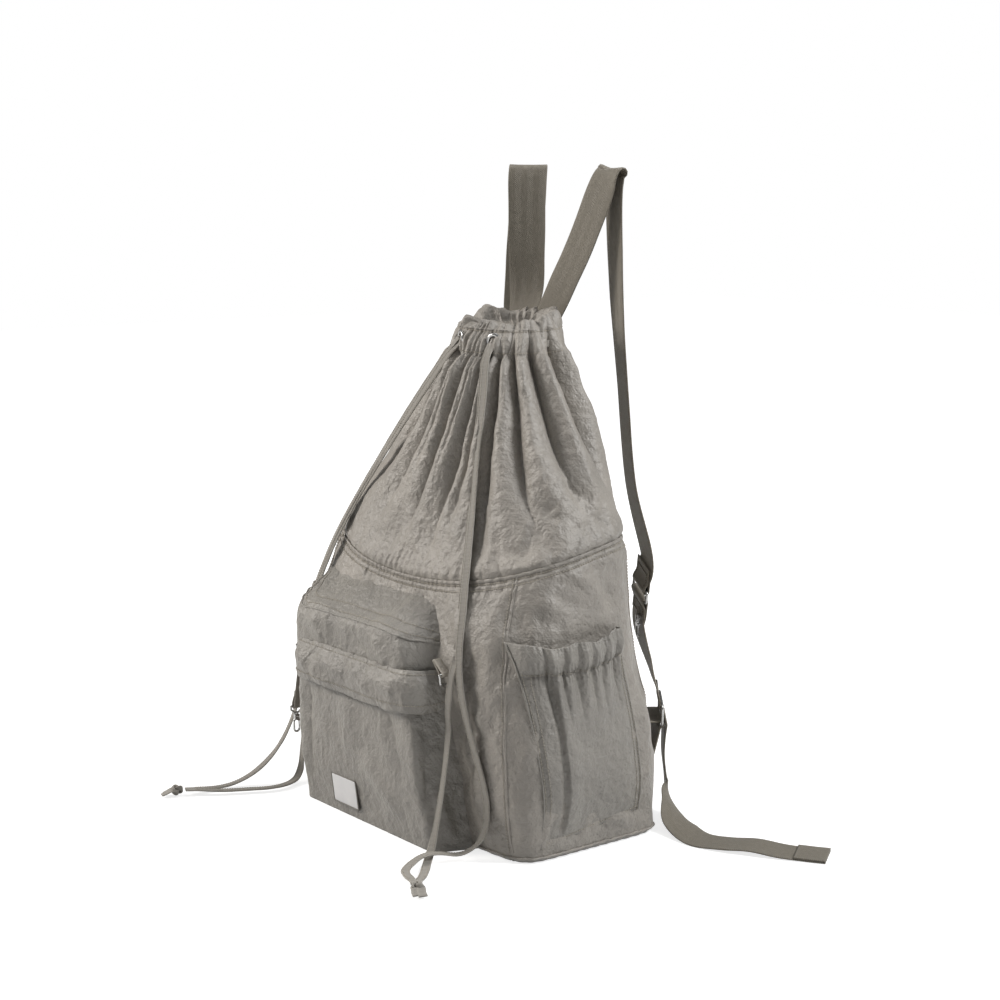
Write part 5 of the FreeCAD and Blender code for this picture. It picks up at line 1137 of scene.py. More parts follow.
def side_pocket_cloth(columns=170, rows=130):
    """Pocket cloth on the bag's side: it stands off the bag at its top and lies on it along its sides and
    foot. Elastic gathers run down from the hem, and one long pleat lies in front of the middle."""
    u = np.linspace(0, 1, columns)[None, :]
    v = np.linspace(0, 1, rows)[:, None]
    top_y, low_y = -86.0 + 114.0 * u, -69.0 + 117.0 * u
    top_z = 208.0 + 6.0 * u - 2.5 * np.sin(np.pi * u)
    low_z = 14.0 + 18.0 * u
    sag = 1.6 * np.sin(np.pi * 5 * u + 0.6) * (1 - ramp(v, 0, 0.1))
    y = top_y + (low_y - top_y) * v
    z = top_z + (low_z - top_z) * v + sag
    bulge = np.sin(np.pi * np.clip(u, 0, 1)) ** 0.6
    thick_hem = (1 - ramp(v, HEM * 0.8, HEM * 1.3)) * ramp(u, 0, 0.04) * ramp(-u, -1, -0.96)
    off = 0.9 + 13.7 * bulge * (1 - v) ** 1.1 + 2.6 * thick_hem
    x = body_side_x(y, z, off)
    grid = np.stack(np.broadcast_arrays(x, y, z), axis=-1)
    normals = grid_normals(grid)
    normals = np.where(normals[..., 0:1] < 0, -normals, normals)
    side = ramp(u, 0, 0.06) * ramp(1 - u, 0, 0.06)
    foot = ramp(1 - v, 0, 0.05)
    push = noise(grid * [1, 1, 0.5], 34.0, 51) * 2.6 * side * foot
    push = push + crumple(grid, 22.0, 0.9, 53) * side * foot + crumple(grid, 9.0, 0.32, 54)
    gathers = np.zeros(np.broadcast(u, v).shape)
    for place, size, deep in SIDE_GATHERS:
        line = place + 0.012 * np.sin(6 * v + place * 30)
        reach = 1 - ramp(v, HEM, HEM + 0.34)
        gathers -= 1.5 * deep * np.exp(-np.abs(u - line) / size) * (0.35 + 0.65 * ramp(v, 0, HEM)) * reach
        gathers += 0.8 * deep * np.exp(-(((u - line - 2.4 * size) / (1.7 * size)) ** 2)) * reach
    gathers += 4.0 * np.exp(-(((v - HEM * 0.45) / (HEM * 0.42)) ** 2))
    fine = np.sin(2 * np.pi * 30 * u + 2.6 * noise(grid, 18.0, 57)) * 0.7
    gathers = gathers + fine * np.exp(-(((v - HEM) / 0.05) ** 2)) + fine * 0.7 * np.exp(-((v / 0.03) ** 2))
    push += gathers * side
    # long pleat: a step in the cloth whose edge faces forwards
    edge = 0.2 + 0.03 * (1 - v)
    step = ramp(u, edge - 0.012, edge + 0.006) * (1 - ramp(u, edge + 0.03, edge + 0.2))
    valley = np.exp(-(((u - edge + 0.028) / 0.022) ** 2))
    push += (2.8 * step - 2.2 * valley) * ramp(v, 0.1, 0.2) * ramp(1 - v, 0.02, 0.12)
    push -= 2.2 * np.exp(-(((v - HEM) / 0.014) ** 2)) * side
    push = np.maximum(push * fold_scale(), -0.75 * off)
    return grid + normals * push[..., None], normals


class BAG_OT_side_pockets(bpy.types.Operator):
    """Elasticated pockets on both sides with stitched edges"""

    bl_idname = "bag.side_pockets"
    bl_label = "Side pockets"

    def execute(self, context):
        grid, normals = side_pocket_cloth()
        hem = int(HEM * len(grid))
        for side, way in SIDES:
            cloth, out = grid * [way, 1, 1], normals * [way, 1, 1]
            piece, name = shell(f"side_pocket_cloth_{side}", cloth, 1.0, normals=out), f"side_pocket_{side}"
            dress(piece, "pocket cloth", [name, f"elastic_band_{side}"])
            for line, column in (("front", 3), ("front_inner", 9), ("back", -4), ("back_inner", -10)):
                sew(f"{name}_{line}", cloth[hem:, column], out[hem:, column])
            sew(f"{name}_foot", cloth[-4, 4:-4], out[-4, 4:-4])
            sew(f"{name}_hem", cloth[hem, 3:-3], out[hem, 3:-3])
            # folded edge of the pocket's two sides
            for line, column in (("front", 1), ("back", -2)):
                path, outward = cloth[:, column] + out[:, column] * 0.2, out[:, column]
                dress(sweep(f"{name}_{line}_edge", path, outward, round_section(1.0, 8)), "pocket cloth")
        return {"FINISHED"}


# ---------------------------------------------------------------- shoulder straps

WEBBING_WIDTH, WEBBING = 38.0, 1.6
RING_WIRE, RING_SPACING, RING_OPENING = 3.0, 11.5, 39.2
GLIDE_BAR, GLIDE_PITCH, GLIDE_HALF = 3.0, 10.0, 20.9
WRAP = RING_WIRE / 2 + 0.3 + WEBBING / 2
GLIDE_WRAP = GLIDE_BAR / 2 + 0.3 + WEBBING / 2
STITCH_OFF = WEBBING / 2 + 0.25  # distance of the stitches from the middle of the webbing


def fitting(centre, turn, lean):
    """Centre, across, outward and up directions of a strap fitting, as in the frame."""
    turn, lean = math.radians(turn), math.radians(lean)
    outward = np.array([-math.sin(turn), math.cos(turn), 0.0])
    across = np.array([math.cos(turn) * math.cos(lean), math.sin(turn) * math.cos(lean), -math.sin(lean)])
    return np.array(centre), across, outward, np.cross(across, outward)


RING = fitting((118.0, 118.0, 226.0), -24.0, 16.0)
GLIDE = fitting((156.0, 113.0, 112.0), -38.0, 8.0)


def placed(fit, along, depth, height):
    centre, across, outward, up = fit
    return centre + across * along + outward * depth + up * height


def by_fitting(fit, points):
    """Stations (place and across direction) given as (depth, height) beside a fitting."""
    return np.array([np.concatenate([placed(fit, 0, d, h), fit[1]]) for d, h in points])


def arc(centre, radius, start, end, steps):
    angles = np.radians(np.linspace(start, end, steps + 1))
    return [(centre[0] + radius * math.cos(a), centre[1] + radius * math.sin(a)) for a in angles]


# Free runs of the webbing: middle of the strap and the direction across it
RIGHT_RUN = np.array([
    (3, 88.2, 452, 1, 0, 0), (3.5, 88.8, 487, 1, 0, 0), (19, 91.5, 518, 1, 0, 0),
    (51, 92, 566, 1, 0, 0), (79, 92, 615, 1, 0, 0), (89.5, 93.5, 636, 1, -0.1, 0),
    (91, 98.5, 641.5, 1, -0.2, 0), (89, 104, 635, 1, -0.25, 0), (85, 107, 605, 1, -0.3, 0),
    (78, 118, 513, 1, -0.4, 0), (80, 125, 430, 0.95, -0.45, -0.1), (91, 127.5, 330, 0.9, -0.42, -0.25),
])
LEFT_RUN = np.array([
    (39, 88.2, 452, 1, 0, 0), (39, 88.8, 484, 1, 0, 0), (37, 95, 520, 0.9, -0.42, 0),
    (33, 92, 566, 0.74, -0.68, 0), (28, 88, 620, 0.63, -0.78, 0), (27.5, 88.5, 639, 0.63, -0.78, 0),
    (31, 92.5, 645, 0.63, -0.78, 0), (36.5, 97, 638, 0.63, -0.78, 0), (53, 108, 600, 0.67, -0.74, 0),
    (77, 121, 513, 0.74, -0.67, 0), (92, 127, 430, 0.82, -0.56, -0.1), (101, 128.5, 330, 0.88, -0.45, -0.25),
])
LOWER_RUN = np.array([(139, 114.5, 152, 0.84, -0.5, -0.2)])
TAIL_RUN = np.array([
    (153, 119.5, 66, 0.78, -0.62, 0), (154.5, 121.5, 43, 0.78, -0.62, 0), (162, 118.5, 27, 0.78, -0.6, 0.1),
    (179, 109.5, 17.5, 0.1, -0.77, 0.62), (203, 98, 6.4, -0.25, -0.95, 0.22), (234, 93, 1.4, 0.07, -1, 0),
    (262, 102, 2.8, 0.4, -0.91, 0), (286, 116, 4.8, 0.51, -0.86, 0), (309, 130, 2.4, 0.55, -0.84, 0),
    (330, 145, 1.3, 0.58, -0.82, 0), (345, 155.5, 1.2, 0.57, -0.82, 0),
])


def upper_stations(run):
    """From the sewn root over the top and down to the ring, round its bar and back up on itself."""
    bar, ply = RING_SPACING / 2, WEBBING + 0.3
    free = np.concatenate([run, by_fitting(RING, [(WRAP, bar + 34), (WRAP, bar + 14)])])
    end = arc((0, bar), WRAP, 0, -180, 8)
    end += [
        (-WRAP * 0.6, bar + 4), (WRAP - ply - 0.1, bar + 9), (WRAP - ply, bar + 17), (WRAP - ply, bar + 24)
    ]
    return [(free, 12), (by_fitting(RING, end), 4)]


def lower_stations():
    """From its stitched end round the ring's lower bar, down through the adjuster and along the floor."""
    bar, ply = -RING_SPACING / 2, WEBBING + 0.3
    head = [
        (WRAP - ply, bar - 22), (WRAP - ply, bar - 13), (WRAP - ply - 0.1, bar - 9), (-WRAP * 0.6, bar - 4)
    ]
    head += arc((0, bar), WRAP, 180, 0, 8)
    weave = [(-GLIDE_WRAP, GLIDE_PITCH + 4), (-GLIDE_WRAP, GLIDE_PITCH - 0.5), (-1.4, GLIDE_PITCH / 2 + 0.8)]
    weave += [
        (GLIDE_WRAP - 0.7, 2.2), (GLIDE_WRAP, 0.0), (GLIDE_WRAP + 0.6, -3.5), (GLIDE_WRAP + 2.4, -GLIDE_PITCH)
    ]
    weave += [(GLIDE_WRAP + 1.8, -GLIDE_PITCH - 6)]
    run = np.concatenate([
        by_fitting(RING, [(WRAP, bar - 14), (WRAP, bar - 34)]), LOWER_RUN,
        by_fitting(GLIDE, [(-GLIDE_WRAP - 1.0, GLIDE_PITCH + 10)]),
    ])
    tail = np.concatenate([by_fitting(GLIDE, [(GLIDE_WRAP + 1.0, -GLIDE_PITCH - 14)]), TAIL_RUN])
    return [(by_fitting(RING, head), 4), (run, 12), (by_fitting(GLIDE, weave), 5), (tail, 12)]


def back_surface(x, z, out):
    """Y of the body's back at x and height, moved outwards: the superellipse solved for y."""
    half_width, front, back, square = level_values(np.asarray(z, dtype=float))
    share = np.clip(abs(x) / half_width, 0, 0.9999)
    return (front + back) / 2 + (back - front) / 2 * (1 - share**square) ** (1 / square) + out


def anchor_stations():
    """Webbing sewn to the bag's back above and below, looped round the adjuster's lowest bar between."""
    def on_back(x, z):
        y = float(back_surface(x, z, 2.4))
        slope = (float(back_surface(x + 5, z, 2.4)) - float(back_surface(x - 5, z, 2.4))) / 10
        return np.array([x, y, z, 1.0, slope, 0.0])

    upper = [
        on_back(148.0, 118.0), on_back(148.0, 106.0),
        by_fitting(GLIDE, [(-6.0, -GLIDE_PITCH + GLIDE_WRAP)])[0]
    ]
    wrap = by_fitting(GLIDE, arc((0, -GLIDE_PITCH), GLIDE_WRAP, 105, -95, 10))
    below = by_fitting(GLIDE, [(-4.0, -GLIDE_PITCH - GLIDE_WRAP - 4.0)])[0]
    lower = [below, on_back(152.0, 58.0), on_back(152.0, 44.0)]
    return [(np.array(upper), 6), (wrap, 3), (np.array(lower), 6)]


def webbing_path(parts):
    """One smooth path through all stations: each part is curved on its own, then the joins are relaxed."""
    curves = []
    for k, (stations, per_span) in enumerate(parts):
        before = parts[k - 1][0][-1:] if k else stations[:0]
        after = parts[k + 1][0][:1] if k + 1 < len(parts) else stations[:0]
        whole = np.concatenate([before, stations, after])
        curve = smooth_path(whole, per_span)
        curves.append(curve[per_span * len(before):-1 if len(after) else None])
    path = np.concatenate(curves)
    path = path[np.concatenate([[True], np.linalg.norm(np.diff(path[:, :3], axis=0), axis=1) > 1e-3])]
    return even_path(path, 1.6)


def strap(name, parts, flip, node, sag_seed=0):
    """Webbing carried along its path. Its edges wave by a millimetre, as worn webbing does."""
    path = webbing_path(parts)
    place, across = path[:, :3] * flip, unit(path[:, 3:]) * flip
    lengths = lengths_along(place)
    wave = 1 + 0.012 * np.sin(lengths / 23.0 + sag_seed) + 0.008 * np.sin(lengths / 9.0)
    scale = np.stack([wave, np.ones_like(wave)], axis=1)
    dress(
        sweep(name, place, across, strip_section(WEBBING_WIDTH, WEBBING, 10), scale=scale), "webbing", [node]
    )
    return place, across


def box_stitches(name, strap_path, start, stop, out, crossed=False, width=30.0):
    """Rectangle of stitches, if asked with a cross in it, on a strap between two distances along its path."""
    place, across = strap_path
    lengths = lengths_along(place)
    start, stop = (value if value >= 0 else lengths[-1] + value for value in (start, stop))
    _, wide, normals = path_frames(place, across)

    def at(values, distance):
        return np.stack([np.interp(distance, lengths, values[:, k]) for k in range(3)], axis=1)

    half = width / 2
    a, b, c, d = (-half, start), (half, start), (half, stop), (-half, stop)
    made = []
    for k, corners in enumerate([[a, b, c, d, a]] + ([[a, c], [b, d]] if crossed else [])):
        line = even_path(np.array([(x, y, 0.0) for x, y in corners]), 1.5)
        face = at(normals, line[:, 1])
        path = at(place, line[:, 1]) + at(wide, line[:, 1]) * line[:, 0:1] + face * out
        made.append(stitches(f"{name}_{k}", path, face * np.sign(out), radius=0.4))
    return dress(joined(name, made) if crossed else made[0], "strap thread")


def both_faces(strap_path, *boxes):
    """Boxes of stitches, given as name, start, stop and whether crossed, on a strap's outer and inner
    face."""
    for k, out in enumerate((STITCH_OFF, -STITCH_OFF)):
        for name, start, stop, crossed in boxes:
            box_stitches(f"{name}_{k}", strap_path, start, stop, out, crossed)


def mirror(vector, side):
    return np.asarray(vector) * np.array([1.0 if side == "right" else -1.0, 1.0, 1.0])


def ring_outline(fit, wide, tall, corner):
    """Centre line of a rectangular ring with round corners, in the fitting's face."""
    flat = rounded_outline(2 * wide, 2 * tall, corner, 5)
    return np.array([placed(fit, along, 0, height) for along, height in flat])


def adjuster(name, side):
    """Strap adjuster: rounded outer frame and a middle bar, as one casting."""
    outer = ring_outline(GLIDE, GLIDE_HALF, GLIDE_PITCH, 3.2)
    frame_wire = closed_wire(name, mirror(outer, side), mirror(GLIDE[2], side), GLIDE_BAR / 2)
    ends = np.array([placed(GLIDE, x, 0, 0) for x in (-GLIDE_HALF, -10.0, 10.0, GLIDE_HALF)])
    bar = sweep(name + "_bar", mirror(ends, side), mirror(GLIDE[2], side), round_section(GLIDE_BAR / 2))
    return joined(name, [frame_wire, bar])


class BAG_OT_straps(bpy.types.Operator):
    """Webbing straps, their anchors, rings, adjusters and box stitches"""

    bl_idname = "bag.straps"
    bl_label = "Shoulder straps"

    def execute(self, context):
        for side, run in (("right", RIGHT_RUN), ("left", LEFT_RUN)):
            flip = mirror((1.0, 1.0, 1.0), side)
            upper = strap(f"strap_upper_{side}", upper_stations(run), flip, f"upper_strap_{side}")
            both_faces(
                upper, (f"strap_root_stitches_{side}", 4.0, 30.0, True),
                (f"strap_turn_stitches_{side}", -22.0, -6.0, False),
            )
            lower = strap(f"strap_lower_{side}", lower_stations(), flip, f"lower_strap_{side}", 2)
            both_faces(lower, (f"strap_end_stitches_{side}", 4.0, 16.0, False))
            # the free end is folded over on itself and sewn down
            fold = lower[0][-20:] + np.array([0, 0, 1.75]), lower[1][-20:]
            dress(
                sweep(f"strap_tail_fold_{side}", *fold, strip_section(WEBBING_WIDTH, WEBBING, 10)), "webbing"
            )
            box_stitches(f"strap_tail_stitches_{side}", fold, 4.0, 24.0, -STITCH_OFF)
            anchor = strap(f"strap_anchor_{side}", anchor_stations(), flip, f"anchor_webbing_{side}", 4)
            both_faces(anchor, (f"strap_anchor_low_{side}", -16.0, -3.0, False))
            both_faces(anchor, (f"strap_anchor_high_{side}", 3.0, 14.0, False))
            outline = ring_outline(RING, (RING_OPENING + RING_WIRE) / 2, RING_SPACING / 2, 2.4)
            ring = closed_wire(
                f"strap_ring_wire_{side}", mirror(outline, side), mirror(RING[2], side), RING_WIRE / 2
            )
            dress(ring, "metal", [f"strap_ring_{side}"])
            dress(adjuster(f"strap_adjuster_{side}", side), "metal", [f"triglide_{side}"])
        return {"FINISHED"}


# ---------------------------------------------------------------- small fittings


def narrow_strap(name, points, across, width, thickness, step=0.5):
    """Narrow folded strap through points, all with one across direction."""
    path = even_path(smooth_path(np.asarray(points, dtype=float), 8), step)
    return sweep(name, path, across, strip_section(width, thickness, 4))


# Where the tabs of the right and the left half-round ring leave their seams, how far they droop, and their
# length
TAB_ROOTS = np.array([(90.4, -113.6, 182.0), (-131.4, -118.0, 166.0)])
TAB_DROOP, TAB_LENGTH = math.radians(41.0), 16.0
# Radius of the wire, half width and depth of the half-round ring
HALF_RING_WIRE, HALF_RING_HALF, HALF_RING_DEEP = 1.1, 5.8, 9.5
KEY_LEAN, KEY_LENGTH, KEY_BACK, KEY_RADIUS, KEY_PLY = math.radians(12.0), 62.0, 15.0, 2.05, 1.6


def half_ring(side, way, root):
    """Half-round ring that hangs in a short tab sewn into a seam; returns the middle of the ring's bar."""
    inward = np.array([-way * math.cos(TAB_DROOP), 0, math.sin(TAB_DROOP)])
    bar = root - inward * TAB_LENGTH
    up = np.cross([0, 1, 0], inward) * way
    radius, off, end = HALF_RING_WIRE + 0.3 + 0.6, up * 0.8, root + inward * 1.5
    turn = [bar + up * radius * math.cos(a) - inward * radius * math.sin(a) for a in np.linspace(0, np.pi, 9)]
    line = [end + off, root + off] + turn + [root - off, end - off]
    dress(narrow_strap(f"ring_tab_{side}", line, (0, 1, 0), 9.4, 1.2), "tab cloth", [f"d_ring_tab_{side}"])
    half, deep = HALF_RING_HALF, HALF_RING_DEEP
    run = [
        (half, 0.0), (half, -0.35 * deep), (half, -0.65 * deep), (half - 0.5, -0.88 * deep),
        (half - 1.6, -deep)
    ]
    points = np.array([bar + np.array([0, y, z]) for y, z in run + [(-y, z) for y, z in reversed(run)]])
    path = smooth_path(points, 5, closed=True)
    ring = closed_wire(f"half_ring_{side}", path, (1, 0, 0), HALF_RING_WIRE, 12)
    dress(ring, "metal", [f"d_ring_{side}"], body=f"d_ring_{side}")
    return bar


def key_strap(bottom):
    """Tape looped through the foot of the left ring and through the clasp's eye, both ends sewn up
    between."""
    down = np.array([-math.sin(KEY_LEAN), 0, -math.cos(KEY_LEAN)])
    out = np.array([math.cos(KEY_LEAN), 0, -math.sin(KEY_LEAN)])
    radius, front = KEY_RADIUS, KEY_RADIUS - 0.6
    plan = [(-radius, -KEY_BACK), (-radius, -6)] + arc((0, 0), radius, 180, 0, 8)
    plan += [
        (radius, -8), (front, -KEY_BACK - 4), (front, -KEY_LENGTH + KEY_BACK + 4), (radius, -KEY_LENGTH + 8)
    ]
    plan += arc((0, -KEY_LENGTH), radius, 0, -180, 8) + [(-radius, -KEY_LENGTH + 5)]
    plan += [(front - KEY_PLY, -KEY_LENGTH + KEY_BACK - 2), (front - KEY_PLY, -KEY_LENGTH + KEY_BACK + 3)]
    tape = narrow_strap("key_strap_tape", [bottom + out * x - down * z for x, z in plan], (0, 1, 0), 8.6, 1.3)
    dress(tape, "cord", ["key_strap"], body="key_strap")


def clasp_tape(side):
    """Narrow tape round the strap's ring and through the eye of its clasp, as high as its frame node."""
    low, high = mm_box(f"clasp_loop_{side}")
    foot = np.array([(low[0] + high[0]) / 2, (low[1] + high[1]) / 2, low[2] + 2.0])
    turn = math.radians(-24.0)
    level, outward = mirror((math.cos(turn), math.sin(turn), 0), side), mirror(RING[2], side)
    # distance out from the middle, and height: real below the foot, a share of the loop above it
    plan = [(1.2, 0.5), (1.4, 0.1), (1.5, -0.2)]
    plan += [(1.5 * math.cos(a), -0.2 - 1.5 * math.sin(a)) for a in np.linspace(0.2, 2.9, 8)]
    plan += [(-1.5, -0.2), (-0.6, 0.2), (0.4, 0.5)]
    tall = (high[2] - low[2] - 2.6) * 2
    points = [foot + outward * out + UP * (z if z <= 0 else z * tall) for out, z in plan]
    dress(narrow_strap(f"clasp_tape_{side}", points, level, 2.2, 0.8, 0.3), "webbing", [f"clasp_loop_{side}"])


class BAG_OT_fittings(bpy.types.Operator):
    """Tabs, half-round rings, key strap and clasp loops; the clasps keep the frame's own solids"""

    bl_idname = "bag.fittings"
    bl_label = "Rings, tabs and clasps"

    def execute(self, context):
        for (side, way), root in zip(SIDES, TAB_ROOTS):
            bar = half_ring(side, way, root)
        key_strap(bar - UP * HALF_RING_DEEP)
        for side, _ in SIDES:
            clasp_tape(side)
        return {"FINISHED"}


# ---------------------------------------------------------------- drawcords

# Route of each strand, in metres, as in the frame: the way it stands off the run that both strands of its
# side share, and its own points after that run
STRANDS = {
    "right_a": (-1, [
        (0.112, -0.113, 0.16), (0.1105, -0.1145, 0.128), (0.113, -0.12, 0.095), (0.116, -0.128, 0.062),
        (0.1185, -0.136, 0.033), (0.121, -0.143, 0.014), (0.126, -0.151, 0.0046), (0.134, -0.159, 0.0024),
        (0.146, -0.1695, 0.0023), (0.16, -0.1825, 0.0034), (0.1686, -0.1931, 0.0052),
        (0.1763, -0.1974, 0.0059),
    ]),
    "right_b": (1, [
        (0.124, -0.1105, 0.16), (0.1315, -0.1085, 0.131), (0.14, -0.106, 0.104), (0.149, -0.103, 0.077),
        (0.153, -0.1, 0.049), (0.152, -0.1035, 0.025), (0.1455, -0.112, 0.01), (0.137, -0.1245, 0.0034),
        (0.132, -0.142, 0.0086), (0.127, -0.158, 0.0086), (0.1275, -0.173, 0.003), (0.138, -0.187, 0.0024),
        (0.156, -0.195, 0.004), (0.1662, -0.1973, 0.0054), (0.1739, -0.2016, 0.0059),
    ]),
    "left_a": (-1, [
        (-0.161, -0.107, 0.135), (-0.172, -0.102, 0.095), (-0.187, -0.1045, 0.062), (-0.1875, -0.1155, 0.042),
        (-0.184, -0.131, 0.0285), (-0.183, -0.146, 0.018), (-0.1845, -0.16, 0.01), (-0.188, -0.177, 0.0036),
        (-0.1905, -0.197, 0.0024), (-0.1946, -0.2213, 0.0052), (-0.1979, -0.2294, 0.0059),
    ]),
    "left_b": (1, [
        (-0.1565, -0.105, 0.14), (-0.16, -0.1035, 0.105), (-0.164, -0.1015, 0.07), (-0.1665, -0.103, 0.036),
        (-0.166, -0.1065, 0.0145), (-0.163, -0.1125, 0.006), (-0.1585, -0.12, 0.0026),
        (-0.1525, -0.132, 0.0023), (-0.15, -0.145, 0.0024), (-0.153, -0.159, 0.0023),
        (-0.1615, -0.175, 0.0024), (-0.1715, -0.196, 0.0023), (-0.1825, -0.213, 0.0036),
        (-0.1902, -0.2231, 0.0053), (-0.1935, -0.2312, 0.0059),
    ]),
}
# The shared run of each side, after what a strand is moved off it by
SHARED = {
    "right": ((0.0025, 0.0, 0.0), [
        (0.0267, 0.0018, 0.4736), (0.027, -0.0075, 0.4605), (0.0335, -0.0145, 0.436),
        (0.0425, -0.024, 0.4075), (0.0495, -0.035, 0.3745), (0.06, -0.0465, 0.34), (0.0755, -0.0625, 0.3035),
        (0.091, -0.0795, 0.266), (0.1045, -0.0945, 0.228), (0.113, -0.106, 0.192),
    ]),
    "left": ((0.002, 0.0, -0.0015), [
        (-0.0267, 0.0018, 0.4736), (-0.033, -0.0075, 0.46), (-0.048, -0.01, 0.443), (-0.062, -0.015, 0.424),
        (-0.0795, -0.02, 0.401), (-0.097, -0.027, 0.375), (-0.114, -0.035, 0.347), (-0.126, -0.0475, 0.319),
        (-0.134, -0.0625, 0.29), (-0.1395, -0.075, 0.265), (-0.145, -0.086, 0.237), (-0.1495, -0.0965, 0.207),
        (-0.1535, -0.104, 0.175),
    ]),
}
TAPE_WIDTH, TAPE_THICKNESS = 8.6, 1.5


def route(name):
    """Points of one strand: the shared run moved to its side, then its own way."""
    way, own = STRANDS[name]
    shift, points = SHARED[name.split("_")[0]]
    return [tuple(value + way * move for value, move in zip(point, shift)) for point in points] + own


def spline_points(name, points):
    """Points of the route's NURBS spline (order 3, ends pinned), in metres."""
    curve = bpy.data.curves.new(name, "CURVE")
    curve.dimensions = "3D"
    spline = curve.splines.new("NURBS")
    spline.points.add(len(points) - 1)
    spline.points.foreach_set("co", [value for point in points for value in (*point, 1.0)])
    spline.order_u = 3
    spline.use_endpoint_u = True
    spline.resolution_u = 12
    carrier = new_object(name, curve)
    mesh = bpy.data.meshes.new_from_object(carrier)
    line = np.empty(len(mesh.vertices) * 3)
    mesh.vertices.foreach_get("co", line)
    bpy.data.objects.remove(carrier)
    bpy.data.curves.remove(curve)
    bpy.data.meshes.remove(mesh)
    return line.reshape(-1, 3)


def away_from_bag(points):
    """Directions in which a cord's flat side faces: the slope of the body's section, turning upwards near the
    floor."""
    half_width, front, back, square = level_values(points[:, 2])
    x = points[:, 0] / half_width
    y = (points[:, 1] - (front + back) / 2) / ((back - front) / 2)
    side = np.sign(x) * np.abs(x) ** (square - 1) / half_width
    face = np.sign(y) * np.abs(y) ** (square - 1) / ((back - front) / 2)
    level = unit(np.stack([side, face, np.full(len(x), 0.002)], axis=1))
    on_floor = (1 - ramp(points[:, 2], 7.0, 34.0))[:, None]
    return unit(level * (1 - on_floor) + UP * on_floor)


def soften(values, times):
    """Moving average of directions along a path."""
    for _ in range(times):
        padded = np.concatenate([values[:1], values, values[-1:]])
        values = unit((padded[:-2] + values * 2 + padded[2:]) / 4)
    return values


def knot_piece(name, centre, towards):
    """Tied end: a trefoil of the tape, x = sin t + 2 sin 2t, y = cos t - 2 cos 2t, z = -sin 3t, drawn tight
    and low."""
    t = np.linspace(0, 2 * np.pi, 181)[:-1]
    flat = np.stack([np.sin(t) + 2 * np.sin(2 * t), np.cos(t) - 2 * np.cos(2 * t), -np.sin(3 * t)], axis=1)
    path = flat * [1.75, 1.9, 2.3]
    place = centre + path[:, 0:1] * np.cross(UP, towards) + path[:, 1:2] * towards + path[:, 2:3] * UP
    across = unit(np.cross(np.roll(place, -1, axis=0) - place, place - centre) + UP * 0.6)
    return sweep(name, place, across, strip_section(5.4, 2.0, 4), closed=True)


def knot_tail(name, centre, towards, side_step, length):
    """Squared free end of a tape that sticks out of its knot and droops to the floor."""
    side = np.cross(UP, towards)
    start = centre + side * side_step
    points = [start, start + towards * 5 + [0, 0, 0.4], start + towards * (5 + length * 0.5) + [0, 0, -1.6]]
    points.append(start + towards * (5 + length) + side * 0.8 + [0, 0, -3.2])
    path = even_path(smooth_path(np.array(points), 6), 0.8)
    return sweep(name, path, side, strip_section(TAPE_WIDTH, TAPE_THICKNESS, 4))


# Place of each knot's middle, and the way its cord comes in from
KNOTS = {
    "right": ((183.2, -204.3, 6.2), (0.87, -0.49, 0.0)), "left": ((-199.2, -238.8, 6.2), (-0.38, -0.92, 0.0)),
}
PATH_STEP = 1.5  # between the points of a cord's path


def drawcord(name):
    """One strand from its eyelet to its knot, with its two rows of stitches. Strands that share a hole lie on
    one another; the first on the right also stands off where it passes the half-round ring."""
    letter = name[-1]
    line = spline_points(f"route_{name}", route(name))
    path = even_path(line / MM, PATH_STEP)
    lengths, steps = np.arange(len(path)) * PATH_STEP, np.arange(len(path))
    beside_ring = ramp(path[:, 2], 118, 138) * (1 - ramp(path[:, 2], 166, 186))
    lift = 1.7 if letter == "b" else 2.6 * beside_ring * (name == "right_a")
    face = soften(away_from_bag(path), 30)
    joint = 1 - ramp(steps, len(path) - 16, len(path) - 2)
    over = path + face * (lift * joint * ramp(steps, 2, 12))[:, None]
    # it turns a little to and fro where it hangs, wavers in width, and is drawn in at both ends
    across = unit(np.cross(face, np.gradient(over, axis=0)))
    hanging = ramp(path[:, 2], 20, 60) * ramp(lengths, 10, 60)
    turn = (0.12 * np.sin(lengths / 41.0 + len(name) + ord(letter)) * hanging)[:, None]
    across = across * np.cos(turn) + face * np.sin(turn)
    wave = 1 + 0.03 * np.sin(lengths / 7.0 + len(name)) + 0.02 * np.sin(lengths / 3.1)
    narrow = 1 - 0.3 * (1 - ramp(lengths, 4, 26)) - 0.3 * (1 - ramp(lengths[-1] - lengths, 2, 18))
    scale = np.stack([wave * narrow, np.ones_like(wave)], axis=1)
    piece = sweep(f"cord_{name}", over, across, strip_section(TAPE_WIDTH, TAPE_THICKNESS, 6), scale=scale)
    dress(piece, "cord", [f"drawcord_{name}"])
    _, wide, normals = path_frames(over, across)
    facing = np.where(np.sum(normals * face, axis=1, keepdims=True) < 0, -normals, normals)
    for k, off in enumerate((-2.9, 2.9)):
        seam = over + wide * off * narrow[:, None] + facing * (TAPE_THICKNESS / 2 + 0.12)
        fine = {"pitch": 2.6, "length": 1.9, "radius": 0.24}
        sew(f"cord_{name}_stitches_{k}", seam[8:-8], facing[8:-8], 0.0, "cord_tape", **fine)


